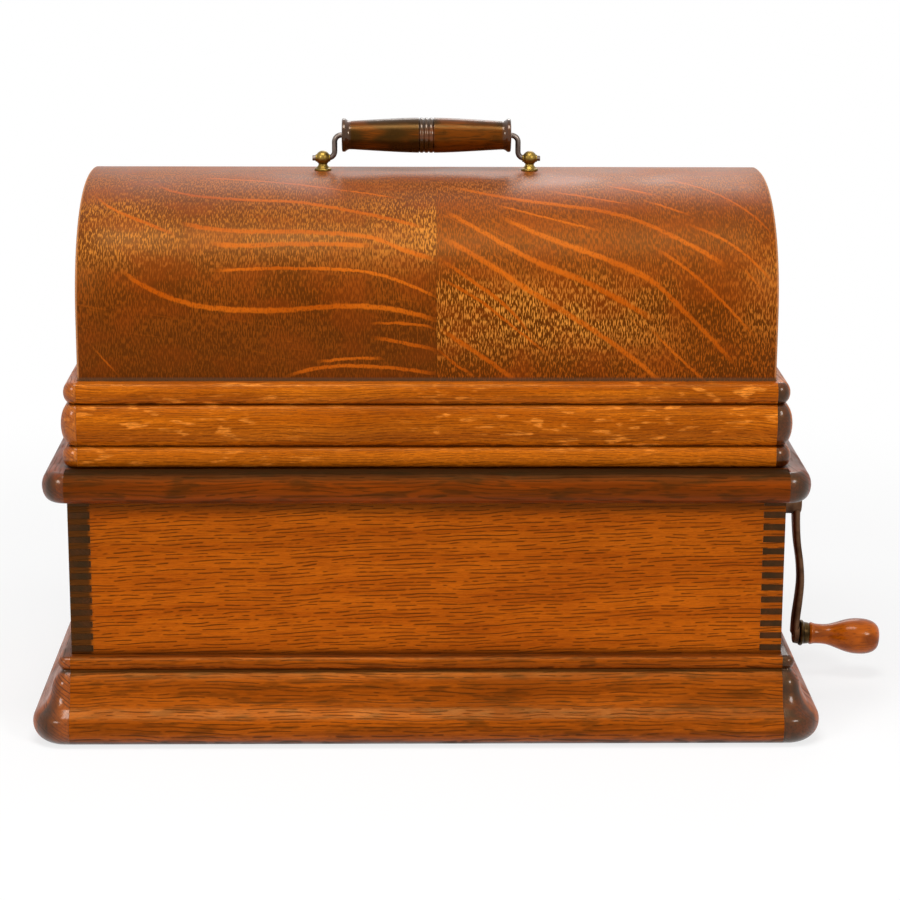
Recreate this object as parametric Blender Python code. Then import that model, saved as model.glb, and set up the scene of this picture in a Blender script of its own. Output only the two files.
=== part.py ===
"""Cylinder phonograph in its closed oak case.

Metres, +Z up, the origin under the middle of the case, +X towards the crank and -Y the front.
The case stands still. The works board with the whole machine tilts up on two hinges at the back,
and the arched lid lifts off it. All the motor's shafts lie along X.
"""

from math import asin, atan2, cos, pi, radians, sin, tan

import bmesh
import bpy
from mathutils import Matrix, Vector

MM = 0.001

# Fits
SEAT_GAP = 0.3 * MM
GLUE_GAP = 0.1 * MM
RUN_GAP = 0.25 * MM
END_GAP = 0.5 * MM
OVERRUN = 2 * MM

# Roundness of turned and arched pieces
PIN_SIDES = 8
LEAF_SIDES = 4
SMALL_SIDES = 10
ROUND_SIDES = 16
WHEEL_SIDES = 28
CORNER_STEPS = 4
ARCH_STEPS = 36

# Case
CASE_WIDTH = 411 * MM
CASE_DEPTH = 210 * MM
CASE_TOP = 142.7 * MM
WALL = 12.5 * MM
BOTTOM_BOARD = 12 * MM
FINGERS = 18

# Plinth
PLINTH_HEIGHT = 50.6 * MM
PLINTH_PROJECTION = 23 * MM
PLINTH_NOSE_RADIUS = 12 * MM
PLINTH_CORNER_RADIUS = 20 * MM
PLINTH_NOSE_STEPS = 4
# (height, projection) from the top of the nose to the bead, as shares of the two sizes above
PLINTH_PROFILE_SHARES = (
    (0.33, 1.0),
    (0.385, 0.84),
    (0.46, 0.67),
    (0.565, 0.54),
    (0.68, 0.48),
    (0.75, 0.4),
    (0.83, 0.24),
    (0.86, 0.28),
    (0.93, 0.315),
    (0.985, 0.28),
    (1.0, 0.22),
)

# Rim round the works board
RIM_THICKNESS = 18 * MM
RIM_PROJECTION = 13.8 * MM
RIM_CORNER_RADIUS = 14 * MM
RIM_NOSE_STEPS = 6
RIM_NOSE_DEPTH = 6 * MM

# Lid
LID_SETBACK = 7 * MM
LID_LENGTH = CASE_WIDTH - 2 * LID_SETBACK
LID_DEPTH = CASE_DEPTH - 2 * LID_SETBACK
LID_TOP = 317 * MM
LID_ARCH_RISE = 75 * MM
LID_ARCH_POWER = 2.35
LID_WALL = 6 * MM
LID_END_WALL = 10 * MM
LID_END_INSET = 1.5 * MM
REED_PROJECTION = 2.8 * MM
REED_CORNER_RADIUS = 9 * MM
REED_STEPS = 6
# (height, depth of its round, how far it stands back) of the reeds from the bottom up
REEDS = (
    (12.6 * MM, 4.2 * MM, 0.5 * MM),
    (24.4 * MM, 5.6 * MM, 0.0),
    (12.4 * MM, 4.2 * MM, 1.8 * MM),
)

# Carrying handle
POST_SPACING = 122.6 * MM
POST_HEIGHT = 7.3 * MM
POST_FLANGE_RADIUS = 5 * MM
POST_FLANGE_HEIGHT = 1.2 * MM
POST_NECK_RADIUS = 2.4 * MM
POST_BALL_RADIUS = 4.2 * MM
POST_TIP_RADIUS = 1 * MM
POST_BALL_STEPS = 8
BAIL_WIRE_RADIUS = 1.6 * MM
BAIL_RISE = 13.6 * MM
BAIL_CRANK_WIDTH = 7 * MM
BAIL_TAIL = 6.2 * MM
BAIL_BEND_RADIUS = 4 * MM
GRIP_LENGTH = 100 * MM
GRIP_RADIUS = 10.5 * MM
# (along the grip from its middle, radius) as shares of half its length and its radius
GRIP_SHARES = (
    (0.0, 0.98),
    (0.035, 0.98),
    (0.05, 0.9),
    (0.065, 0.99),
    (0.11, 0.99),
    (0.125, 0.92),
    (0.14, 0.99),
    (0.4, 0.95),
    (0.7, 0.87),
    (0.88, 0.82),
    (0.925, 0.86),
    (0.955, 0.95),
    (0.985, 0.95),
    (1.0, 0.8),
)

# Crank
CRANK_HEIGHT = 114 * MM
CRANK_THROW = 85 * MM
CRANK_SHANK_RADIUS = 4 * MM
CRANK_HUB_RADIUS = 8 * MM
CRANK_HUB_START = 6 * MM
CRANK_HUB_LENGTH = 16 * MM
CRANK_ARM_THICKNESS = 4.6 * MM
CRANK_ARM_WIDTH = 12 * MM
CRANK_ARM_TIP_WIDTH = 10 * MM
CRANK_ARM_STATIONS = 9
CRANK_BOW = 4 * MM
CRANK_TOE_OUT = 2 * MM
CRANK_EYE_RADIUS = 7.5 * MM
CRANK_PIN_RADIUS = 3 * MM
KNOB_DROOP = radians(3.6)
KNOB_LENGTH = 50 * MM
KNOB_RADIUS = 11.1 * MM
# (along the knob from the ferrule, radius) as shares of its length and its radius
KNOB_SHARES = (
    (0.0, 0.6),
    (0.06, 0.57),
    (0.22, 0.62),
    (0.4, 0.83),
    (0.55, 0.97),
    (0.68, 1.0),
    (0.82, 0.95),
    (0.92, 0.8),
    (0.975, 0.56),
    (1.0, 0.26),
)
FERRULE_LENGTH = 6 * MM
FERRULE_RADIUS = 8 * MM
FERRULE_LIP_RADIUS = 6.6 * MM
BUSH_RADIUS = 7 * MM
BUSH_FLANGE_RADIUS = 12 * MM
BUSH_FLANGE_THICKNESS = 2 * MM

# Hinges at the back
HINGE_SPACING = 250 * MM
HINGE_LENGTH = 50 * MM
HINGE_LEAF_THICKNESS = 2 * MM
HINGE_LEAF_HEIGHT = 24 * MM
HINGE_KNUCKLE_RADIUS = 3.4 * MM
HINGE_PIN_RADIUS = 1.6 * MM
HINGE_KNUCKLE_SHARE = 0.32

# Bedplate
BEDPLATE_END_MARGIN = 9 * MM
BEDPLATE_SIDE_MARGIN = 11 * MM
BEDPLATE_REST = 8 * MM
BEDPLATE_THICKNESS = 5.5 * MM
STAND_THICKNESS = 8 * MM
STAND_WIDTH = 24 * MM
STAND_EYE_RADIUS = 10 * MM
STAND_FROM_PULLEY = 18 * MM
STAND_FROM_MANDREL = 8 * MM
GATE_FROM_MANDREL = 10 * MM
BELT_SLOT_WIDTH = 12 * MM
BELT_SLOT_MARGIN = 8 * MM

# Mandrel and feed screw
MANDREL_Y = -5 * MM
MANDREL_Z = 205 * MM
MANDREL_START = 16 * MM
MANDREL_LENGTH = 108 * MM
MANDREL_BIG_RADIUS = 23 * MM
MANDREL_SMALL_RADIUS = 21 * MM
MANDREL_WALL = 3 * MM
MANDREL_WEB = 6 * MM
MANDREL_SHAFT_RADIUS = 4 * MM
MANDREL_SHAFT_TAIL = 10 * MM
FEED_SCREW_RADIUS = 5 * MM
FEED_SCREW_END_ROOM = 18 * MM
PULLEY_FROM_EDGE = 18 * MM
MANDREL_PULLEY_RADIUS = 30 * MM
MANDREL_PULLEY_HUB_RADIUS = 8 * MM
PULLEY_WIDTH = 8 * MM
PULLEY_GROOVE = 2 * MM
PULLEY_LIP = 1.2 * MM
BELT_STEPS = 12
BELT_WIDTH = 5 * MM
BELT_THICKNESS = 1 * MM

# End gate
GATE_THICKNESS = 7 * MM
GATE_PIVOT_Y = 30 * MM
GATE_PIVOT_RADIUS = 5 * MM
GATE_PIN_RADIUS = 2.2 * MM
GATE_EYE_RADIUS = 9 * MM
GATE_HEIGHT = 10 * MM
GATE_SOCKET_RADIUS = 4.6 * MM
GATE_SOCKET_DEPTH = 1.5 * MM

# Carriage
ROD_Y = 50 * MM
ROD_RADIUS = 6 * MM
ROD_EYE_RADIUS = 10.5 * MM
CARRIAGE_FROM_STAND = 25 * MM
CARRIAGE_TAIL = 5 * MM
CARRIAGE_BUSH_WALL = 1.8 * MM
CARRIAGE_BARREL_WALL = 3 * MM
CARRIAGE_ARM_WIDTH = 16 * MM
CARRIAGE_ARM_THICKNESS = 6 * MM
REPRODUCER_FROM_MANDREL = 6 * MM
REPRODUCER_RISE = 42 * MM
REPRODUCER_RADIUS = 21 * MM
REPRODUCER_HEIGHT = 13 * MM
REPRODUCER_NECK_RADIUS = 6 * MM
REPRODUCER_NECK_HEIGHT = 9 * MM
RING_WALL = 4 * MM
NUT_ARM_WIDTH = 10 * MM
NUT_ARM_THICKNESS = 3 * MM
NUT_CLEARANCE = 1.2 * MM
REPRODUCER_EDGE = 1.5 * MM
EAR_THICKNESS = 2 * MM
EAR_WIDTH = 4 * MM
WEIGHT_DROP = 2 * MM
WEIGHT_HINGE_Y = 8 * MM
WEIGHT_PIN_RADIUS = 0.9 * MM
WEIGHT_THICKNESS = 3 * MM
WEIGHT_WIDTH = 20 * MM
WEIGHT_LENGTH = 30 * MM
STYLUS_RADIUS = 1.2 * MM
STYLUS_LENGTH = 2.4 * MM
FRONT_RAIL_Y = -49 * MM
FRONT_RAIL_THICKNESS = 5 * MM
FRONT_RAIL_HEIGHT = 6 * MM
FRONT_RAIL_TOP = 222 * MM
FRONT_RAIL_OVERHANG = 12 * MM
LIFT_LEVER_WIDTH = 6 * MM
LIFT_LEVER_RADIUS = 4 * MM
LIFT_LEVER_PIN_RADIUS = 1.6 * MM
LIFT_LEVER_HANDLE = 16 * MM
LIFT_STRAP_WIDTH = 10 * MM
RAIL_POST_WIDTH = 14 * MM
RAIL_POST_TOP_WIDTH = 8 * MM
NUT_PAD_LENGTH = 8 * MM

# Motor frames
FRAME_SPACING = 120 * MM
FRAME_THICKNESS = 4 * MM
FRAME_FRONT = -58 * MM
FRAME_BACK = 60 * MM
FRAME_BOTTOM = 44 * MM
FRAME_CHAMFER = 16 * MM
FRAME_FLANGE = 10 * MM
JOURNAL_RADIUS = 3 * MM

# Gears: teeth counts and modules
TOOTH_SHARE = 0.42
TOOTH_ANGLE = radians(20)
TOOTH_TIP_SHARE = 0.85
TOOTH_ROOT_SHARE = 1.2
WIND_MODULE = 1.75 * MM
WIND_PINION_TEETH = 16
WIND_GEAR_TEETH = 40
GREAT_MODULE = 1.8 * MM
GREAT_GEAR_TEETH = 50
GREAT_PINION_TEETH = 10
SECOND_MODULE = 1.5 * MM
SECOND_GEAR_TEETH = 40
SECOND_PINION_TEETH = 10
GOVERNOR_MODULE = 1.0 * MM
GOVERNOR_GEAR_TEETH = 30
GOVERNOR_PINION_TEETH = 10
MESH_GAP = 0.3 * MM

# Places of the motor's shafts, seen along X, as directions from shaft to shaft
BARREL_FROM_WINDER = radians(-53)
SECOND_FROM_BARREL = radians(195)
DRIVE_FROM_SECOND = radians(100)
GOVERNOR_FROM_DRIVE = radians(180)

# Barrel, spring and winding work
BARREL_START = -46 * MM
BARREL_LENGTH = 54 * MM
BARREL_RADIUS = 42 * MM
BARREL_WALL = 2 * MM
GREAT_GEAR_WIDTH = 5 * MM
ARBOR_RADIUS = 6 * MM
ARBOR_JOURNAL_RADIUS = 4.5 * MM
ARBOR_TAIL = 2 * MM
SPRING_TURNS = 5
SPRING_STEPS = 12
SPRING_THICKNESS = 1.4 * MM
SPRING_SIDE_GAP = 2 * MM
SPRING_INNER_GAP = 4 * MM
SPRING_OUTER_GAP = 1 * MM
WIND_GEAR_START = 68 * MM
WIND_GEAR_WIDTH = 6 * MM
RATCHET_WIDTH = 3 * MM
RATCHET_TEETH = 16
RATCHET_RADIUS = 16 * MM
RATCHET_DEPTH = 2.2 * MM
PAWL_DISTANCE = 27 * MM
PAWL_DIRECTION = radians(35)
PAWL_BOSS_RADIUS = 4 * MM
PAWL_PIN_RADIUS = 1.8 * MM
PAWL_TIP_WIDTH = 2.5 * MM
PAWL_TIP_DIRECTION = radians(-10)
WINDER_SHAFT_RADIUS = 4 * MM
WINDER_START = 50 * MM
WINDER_LUG_FROM_EDGE = 18 * MM
WINDER_LUG_THICKNESS = 5 * MM
WINDER_LUG_RADIUS = 9 * MM

# Second shaft, drive shaft and governor
SECOND_PINION_START = 8 * MM
SECOND_PINION_WIDTH = 8 * MM
SECOND_GEAR_START = 24 * MM
SECOND_GEAR_WIDTH = 4 * MM
DRIVE_PINION_WIDTH = 6 * MM
DRIVE_GEAR_START = 33 * MM
DRIVE_GEAR_WIDTH = 4 * MM
DRIVE_PULLEY_RADIUS = 16 * MM
GOVERNOR_CAGE_START = -34 * MM
GOVERNOR_CAGE_LENGTH = 56 * MM
GOVERNOR_COLLAR_LENGTH = 5 * MM
GOVERNOR_COLLAR_RADIUS = 5 * MM
GOVERNOR_SPRING_RADIUS = 1 * MM
GOVERNOR_WEIGHT_RADIUS = 4.4 * MM
GOVERNOR_WEIGHT_REACH = 10 * MM
GOVERNOR_WEIGHTS = 3
GOVERNOR_DISC_X = -44 * MM
GOVERNOR_DISC_THICKNESS = 2.5 * MM
GOVERNOR_DISC_RADIUS = 13 * MM
SPEED_SCREW_RADIUS = 2 * MM
SPEED_SCREW_HEAD_RADIUS = 5 * MM
SPEED_SCREW_HEAD_LENGTH = 4 * MM
SPEED_SCREW_TAIL = 8 * MM
START_LEVER_RADIUS = 2.5 * MM
START_LEVER_ARM = 26 * MM
START_LEVER_WIDTH = 7 * MM
START_LEVER_THICKNESS = 2.5 * MM
START_LEVER_KNOB_RADIUS = 3.5 * MM
START_LEVER_KNOB_HEIGHT = 6 * MM
BRAKE_FINGER_WIDTH = 3 * MM
BRAKE_PAD_OFFSET = 9 * MM
SPEED_SCREW_OFFSET = 9 * MM
START_LEVER_FROM_DISC = 9 * MM
START_LEVER_FROM_GOVERNOR = 16.4 * MM

# Places that follow from the sizes above
CASE_HALF = CASE_WIDTH / 2
CASE_HALF_DEPTH = CASE_DEPTH / 2
WALLS_BOTTOM = BOTTOM_BOARD + SEAT_GAP
WORKS_BOTTOM = CASE_TOP + SEAT_GAP
WORKS_TOP = WORKS_BOTTOM + RIM_THICKNESS
LID_BOTTOM = WORKS_TOP + SEAT_GAP
BEDPLATE_BOTTOM = WORKS_TOP + SEAT_GAP
BEDPLATE_TOP = BEDPLATE_BOTTOM + BEDPLATE_THICKNESS
HINGE_Y = CASE_HALF_DEPTH + SEAT_GAP + HINGE_KNUCKLE_RADIUS
HINGE_Z = WORKS_BOTTOM - SEAT_GAP - HINGE_KNUCKLE_RADIUS
PIVOT_Z = LID_TOP + POST_HEIGHT
CRANK_ARM_X = CASE_HALF + CRANK_HUB_START + CRANK_HUB_LENGTH
SHANK_END = CASE_HALF - WALL - BUSH_FLANGE_THICKNESS
BEDPLATE_HALF = LID_LENGTH / 2 - LID_END_INSET - LID_END_WALL - BEDPLATE_END_MARGIN
BEDPLATE_HALF_DEPTH = LID_DEPTH / 2 - LID_WALL - BEDPLATE_SIDE_MARGIN
MANDREL_PULLEY_X = PULLEY_FROM_EDGE - BEDPLATE_HALF
LEFT_STAND_X = MANDREL_PULLEY_X + STAND_FROM_PULLEY
CENTRE_STAND_X = MANDREL_START - STAND_FROM_MANDREL
RIGHT_STAND_X = MANDREL_START + MANDREL_LENGTH + GATE_FROM_MANDREL
WINDER_LUG_X = BEDPLATE_HALF - WINDER_LUG_FROM_EDGE
REPRODUCER_X = MANDREL_START + REPRODUCER_FROM_MANDREL
CARRIAGE_START = LEFT_STAND_X + CARRIAGE_FROM_STAND
CARRIAGE_LENGTH = REPRODUCER_X + CARRIAGE_TAIL - CARRIAGE_START
FRAME_INNER = (FRAME_SPACING - FRAME_THICKNESS) / 2
FRAME_OUTER = (FRAME_SPACING + FRAME_THICKNESS) / 2
START_LEVER_X = GOVERNOR_DISC_X - START_LEVER_FROM_DISC


def centres(first_teeth, second_teeth, module):
    """The distance between the shafts of two meshed gears."""
    return (first_teeth + second_teeth) * module / 2 + MESH_GAP


def step_from(shaft, distance, direction):
    """The (y, z) of a shaft that lies this far from another."""
    return (shaft[0] + distance * cos(direction), shaft[1] + distance * sin(direction))


WINDER = (0.0, CRANK_HEIGHT)
BARREL = step_from(
    WINDER, centres(WIND_PINION_TEETH, WIND_GEAR_TEETH, WIND_MODULE), BARREL_FROM_WINDER
)
SECOND = step_from(
    BARREL, centres(GREAT_GEAR_TEETH, GREAT_PINION_TEETH, GREAT_MODULE), SECOND_FROM_BARREL
)
DRIVE = step_from(
    SECOND, centres(SECOND_GEAR_TEETH, SECOND_PINION_TEETH, SECOND_MODULE), DRIVE_FROM_SECOND
)
GOVERNOR = step_from(
    DRIVE, centres(GOVERNOR_GEAR_TEETH, GOVERNOR_PINION_TEETH, GOVERNOR_MODULE), GOVERNOR_FROM_DRIVE
)
START_LEVER_Y = GOVERNOR[0] - START_LEVER_FROM_GOVERNOR
PAWL = step_from(BARREL, PAWL_DISTANCE, PAWL_DIRECTION)
MANDREL = (MANDREL_Y, MANDREL_Z)
ROD = (ROD_Y, MANDREL_Z)

ALONG_X = Vector((1, 0, 0))
ALONG_Z = Vector((0, 0, 1))
KNOB_AXIS = Vector((cos(KNOB_DROOP), 0, -sin(KNOB_DROOP)))


def clear_scene():
    for obj in list(bpy.data.objects):
        bpy.data.objects.remove(obj, do_unlink=True)


def finish(name, colour, roughness, metallic=0.0):
    """A material with one colour, roughness and metallic value."""
    material = bpy.data.materials.new(name)
    material.use_nodes = True
    material.diffuse_color = (*colour, 1)
    shader = material.node_tree.nodes["Principled BSDF"]
    shader.inputs["Base Color"].default_value = (*colour, 1)
    shader.inputs["Roughness"].default_value = roughness
    shader.inputs["Metallic"].default_value = metallic
    return material


def pivot(name, place, parent=None):
    """An empty on a joint's axis, which carries the pieces that move with it."""
    empty = bpy.data.objects.new(name, None)
    bpy.context.collection.objects.link(empty)
    carrier = parent.matrix_world.translation if parent else Vector()
    empty.parent = parent
    empty.location = Vector(place) - carrier
    bpy.context.view_layer.update()
    return empty


def loft(rings, closed=False):
    """A closed surface through rings of as many points each, capped unless it runs round."""
    shape = bmesh.new()
    rows = [[shape.verts.new(point) for point in ring] for ring in rings]
    pairs = list(zip(rows, rows[1:]))
    if closed:
        pairs.append((rows[-1], rows[0]))
    for low, high in pairs:
        for index in range(len(low)):
            after = (index + 1) % len(low)
            shape.faces.new((low[index], low[after], high[after], high[index]))
    if not closed:
        shape.faces.new(rows[0])
        shape.faces.new(rows[-1])
    bmesh.ops.recalc_face_normals(shape, faces=shape.faces)
    return shape


def across(axis, along, pair):
    """The point at this distance along an axis, with the other two coordinates in order."""
    first, second = pair
    return {
        "X": (along, first, second),
        "Y": (first, along, second),
        "Z": (first, second, along),
    }[axis]


def prism(outline, axis, low, high):
    """An outline pushed out along an axis from low to high."""
    return loft([[across(axis, along, pair) for pair in outline] for along in (low, high)])


def block(low, high):
    """A box between two corners."""
    outline = ((low[0], low[1]), (high[0], low[1]), (high[0], high[1]), (low[0], high[1]))
    return prism(outline, "Z", low[2], high[2])


def ring_at(start, direction, along, radius, sides):
    """Points round an axis at one place on it."""
    side = direction.orthogonal().normalized()
    up = direction.cross(side)
    turn = [2 * pi * step / sides for step in range(sides)]
    middle = start + along * direction
    return [middle + radius * (cos(angle) * side + sin(angle) * up) for angle in turn]


def turned(profile, start, direction=ALONG_X, sides=ROUND_SIDES, bore=0.0):
    """A round piece from its (distance along, radius) profile, drilled through if it has a bore."""
    rows = list(profile)
    if bore:
        rows += [(profile[-1][0], bore), (profile[0][0], bore)]
    start = Vector(start)
    rings = [ring_at(start, direction, along, radius, sides) for along, radius in rows]
    return loft(rings, closed=bool(bore))


def rod_along_x(shaft, low, high, radius, sides=SMALL_SIDES):
    """A plain round bar along X at a shaft's place."""
    return turned(((low, radius), (high, radius)), (0, *shaft), sides=sides)


def together(shapes):
    """Several shapes that don't touch, as one operand for a cut or a join."""
    whole = bmesh.new()
    for shape in shapes:
        mesh = bpy.data.meshes.new("operand")
        shape.to_mesh(mesh)
        whole.from_mesh(mesh)
        bpy.data.meshes.remove(mesh)
        shape.free()
    return whole


def add(name, shape, material, parent=None):
    """The shape as a named object that moves with its pivot."""
    mesh = bpy.data.meshes.new(name)
    shape.to_mesh(mesh)
    shape.free()
    mesh.shade_smooth()
    mesh.set_sharp_from_angle(angle=radians(35))
    mesh.materials.append(material)
    obj = bpy.data.objects.new(name, mesh)
    bpy.context.collection.objects.link(obj)
    if parent:
        obj.parent = parent
        obj.matrix_parent_inverse = parent.matrix_world.inverted()
    return obj


def boolean(obj, operation, shape, label):
    """Cuts a shape from the object, or joins it on, by a Boolean modifier."""
    tool = add(f"{obj.name}_{label}", shape, obj.data.materials[0], obj.parent)
    tool.hide_render = True
    tool.display_type = "WIRE"
    modifier = obj.modifiers.new(label, "BOOLEAN")
    modifier.operation = operation
    modifier.solver = "EXACT"
    modifier.object = tool


def cut(obj, shape, label="hole"):
    boolean(obj, "DIFFERENCE", shape, label)


def join(obj, shape, label="boss"):
    boolean(obj, "UNION", shape, label)


def arc(centre, radius, start, end, steps):
    """Points on an arc, both ends included."""
    return [
        (
            centre[0] + radius * cos(start + (end - start) * step / steps),
            centre[1] + radius * sin(start + (end - start) * step / steps),
        )
        for step in range(steps + 1)
    ]


def tube(path, radius, sides, side):
    """A round wire along a flat path, whose plane has this normal."""
    points = [Vector(point) for point in path]
    rings = []
    for index, point in enumerate(points):
        before = points[max(index - 1, 0)]
        after = points[min(index + 1, len(points) - 1)]
        heading = (after - before).normalized()
        up = heading.cross(side)
        turn = [2 * pi * step / sides for step in range(sides)]
        rings.append([point + radius * (cos(angle) * side + sin(angle) * up) for angle in turn])
    return loft(rings)


def moulded_side(levels, inner, corner_radius, side):
    """A side board with its outer face moulded and both its corners rounded in plan.

    levels holds (height, projection from the case's walls), and the board runs from front to back.
    """
    widest = max(projection for _, projection in levels)
    rings = []
    for height, projection in levels:
        radius = corner_radius - (widest - projection)
        reach = CASE_HALF + projection
        front = CASE_HALF_DEPTH + projection
        plan = [(inner, -front)]
        plan += arc((reach - radius, radius - front), radius, -pi / 2, 0, CORNER_STEPS)
        plan += arc((reach - radius, front - radius), radius, 0, pi / 2, CORNER_STEPS)
        plan.append((inner, front))
        rings.append([(side * x, y, height) for x, y in plan])
    return loft(rings)


def moulded_front(levels, inner, half_width, side):
    """A straight moulded board between the side boards, at the front (side -1) or the back."""
    rings = []
    for height, projection in levels:
        face = side * (CASE_HALF_DEPTH + projection)
        back = side * inner
        rings.append(
            [
                (-half_width, back, height),
                (half_width, back, height),
                (half_width, face, height),
                (-half_width, face, height),
            ]
        )
    return loft(rings)


def moulded_ring(name, levels, inner_width, inner_depth, corner_radius, material, parent=None):
    """Four moulded boards: the sides run full depth, and the front and back fit between them."""
    for word, side in (("left", -1), ("right", 1)):
        shape = moulded_side(levels, inner_width, corner_radius, side)
        add(f"{name}_{word}", shape, material, parent)
    for word, side in (("front", -1), ("back", 1)):
        shape = moulded_front(levels, inner_depth, inner_width - GLUE_GAP, side)
        add(f"{name}_{word}", shape, material, parent)


def gear_outline(teeth, module, shaft, phase):
    """A gear's outline round its shaft, with a tooth's middle at the phase angle."""
    pitch_radius = teeth * module / 2
    tip = pitch_radius + TOOTH_TIP_SHARE * module
    root = pitch_radius - TOOTH_ROOT_SHARE * module
    half_tooth = pi / teeth * TOOTH_SHARE
    points = []
    for tooth in range(teeth):
        middle = phase + 2 * pi * tooth / teeth
        for radius, side in ((root, -1), (tip, -1), (tip, 1), (root, 1)):
            flank = half_tooth - (radius - pitch_radius) * tan(TOOTH_ANGLE) / radius
            angle = middle + side * flank
            points.append((shaft[0] + radius * cos(angle), shaft[1] + radius * sin(angle)))
    return points


def gear(teeth, module, shaft, phase, start, width):
    return prism(gear_outline(teeth, module, shaft, phase), "X", start, start + width)


def gap_phase(teeth, direction):
    """The phase that puts the middle of a gap opposite a mate's tooth."""
    return direction + pi + pi / teeth


def toothed_edge(first, full, recessed):
    """Points up a board's finger-jointed edge, whose fingers fill every other slot."""
    slots = 2 * FINGERS
    step = (CASE_TOP - WALLS_BOTTOM) / slots
    points = []
    for slot in range(slots):
        is_finger = slot % 2 == first
        trim = GLUE_GAP / 2 if is_finger else -GLUE_GAP / 2
        low = WALLS_BOTTOM + slot * step + (trim if slot else 0)
        high = WALLS_BOTTOM + (slot + 1) * step - (trim if slot < slots - 1 else 0)
        reach = full if is_finger else recessed
        points += [(reach, low), (reach, high)]
    return points


def finger_board(first, full, recessed):
    """The outline of a board with fingers up both edges."""
    edge = toothed_edge(first, full, recessed)
    return edge + [(-reach, height) for reach, height in reversed(edge)]


def make_case(oak, brass, iron):
    front = finger_board(0, CASE_HALF, CASE_HALF - WALL - GLUE_GAP)
    for word, side in (("front", -1), ("back", 1)):
        faces = sorted((side * CASE_HALF_DEPTH, side * (CASE_HALF_DEPTH - WALL)))
        add(f"case_{word}", prism(front, "Y", *faces), oak)
    end = finger_board(1, CASE_HALF_DEPTH, CASE_HALF_DEPTH - WALL - GLUE_GAP)
    for word, side in (("left", -1), ("right", 1)):
        faces = sorted((side * CASE_HALF, side * (CASE_HALF - WALL)))
        board = add(f"case_{word}", prism(end, "X", *faces), oak)
        if side > 0:
            hole = BUSH_RADIUS + SEAT_GAP
            low = CASE_HALF - WALL - OVERRUN
            cut(board, rod_along_x(WINDER, low, CASE_HALF + OVERRUN, hole, ROUND_SIDES))
    low = (-CASE_HALF, -CASE_HALF_DEPTH, 0.0)
    add("case_bottom", block(low, (CASE_HALF, CASE_HALF_DEPTH, BOTTOM_BOARD)), oak)
    flange = CASE_HALF + SEAT_GAP
    profile = (
        (CASE_HALF - WALL, BUSH_RADIUS),
        (flange, BUSH_RADIUS),
        (flange, BUSH_FLANGE_RADIUS),
        (flange + BUSH_FLANGE_THICKNESS, BUSH_FLANGE_RADIUS),
    )
    bore = CRANK_SHANK_RADIUS + RUN_GAP
    add("crank_bush", turned(profile, (0, *WINDER), bore=bore), brass)
    nose = arc(
        (PLINTH_PROJECTION - PLINTH_NOSE_RADIUS, PLINTH_NOSE_RADIUS),
        PLINTH_NOSE_RADIUS,
        -pi / 2,
        0,
        PLINTH_NOSE_STEPS,
    )
    levels = [(height, projection) for projection, height in nose]
    levels += [
        (height * PLINTH_HEIGHT, projection * PLINTH_PROJECTION)
        for height, projection in PLINTH_PROFILE_SHARES
    ]
    inner = (CASE_HALF + SEAT_GAP, CASE_HALF_DEPTH + SEAT_GAP)
    moulded_ring("plinth", levels, *inner, PLINTH_CORNER_RADIUS, oak)
    for word, side in (("left", -1), ("right", 1)):
        make_case_leaf(f"case_hinge_{word}", side * HINGE_SPACING / 2, iron)


def make_case_leaf(name, middle, iron):
    """The leaf on the case's back, with the hinge pin fixed in its two outer knuckles."""
    half = HINGE_LENGTH / 2
    face = CASE_HALF_DEPTH + SEAT_GAP
    low = (middle - half, face, HINGE_Z - HINGE_LEAF_HEIGHT)
    high = (middle + half, face + HINGE_LEAF_THICKNESS, HINGE_Z)
    leaf = add(name, block(low, high), iron)
    knuckle = HINGE_LENGTH * HINGE_KNUCKLE_SHARE
    slot_low = (middle - half + knuckle, face - OVERRUN, HINGE_Z - HINGE_KNUCKLE_RADIUS - END_GAP)
    slot_high = (middle + half - knuckle, face + 2 * HINGE_KNUCKLE_RADIUS, HINGE_Z + OVERRUN)
    cut(leaf, block(slot_low, slot_high), "knuckle_slot")
    profile = (
        (-half, HINGE_KNUCKLE_RADIUS),
        (knuckle - half, HINGE_KNUCKLE_RADIUS),
        (knuckle - half, HINGE_PIN_RADIUS),
        (half - knuckle, HINGE_PIN_RADIUS),
        (half - knuckle, HINGE_KNUCKLE_RADIUS),
        (half, HINGE_KNUCKLE_RADIUS),
    )
    join(leaf, turned(profile, (middle, HINGE_Y, HINGE_Z), sides=SMALL_SIDES), "knuckles")


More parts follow.
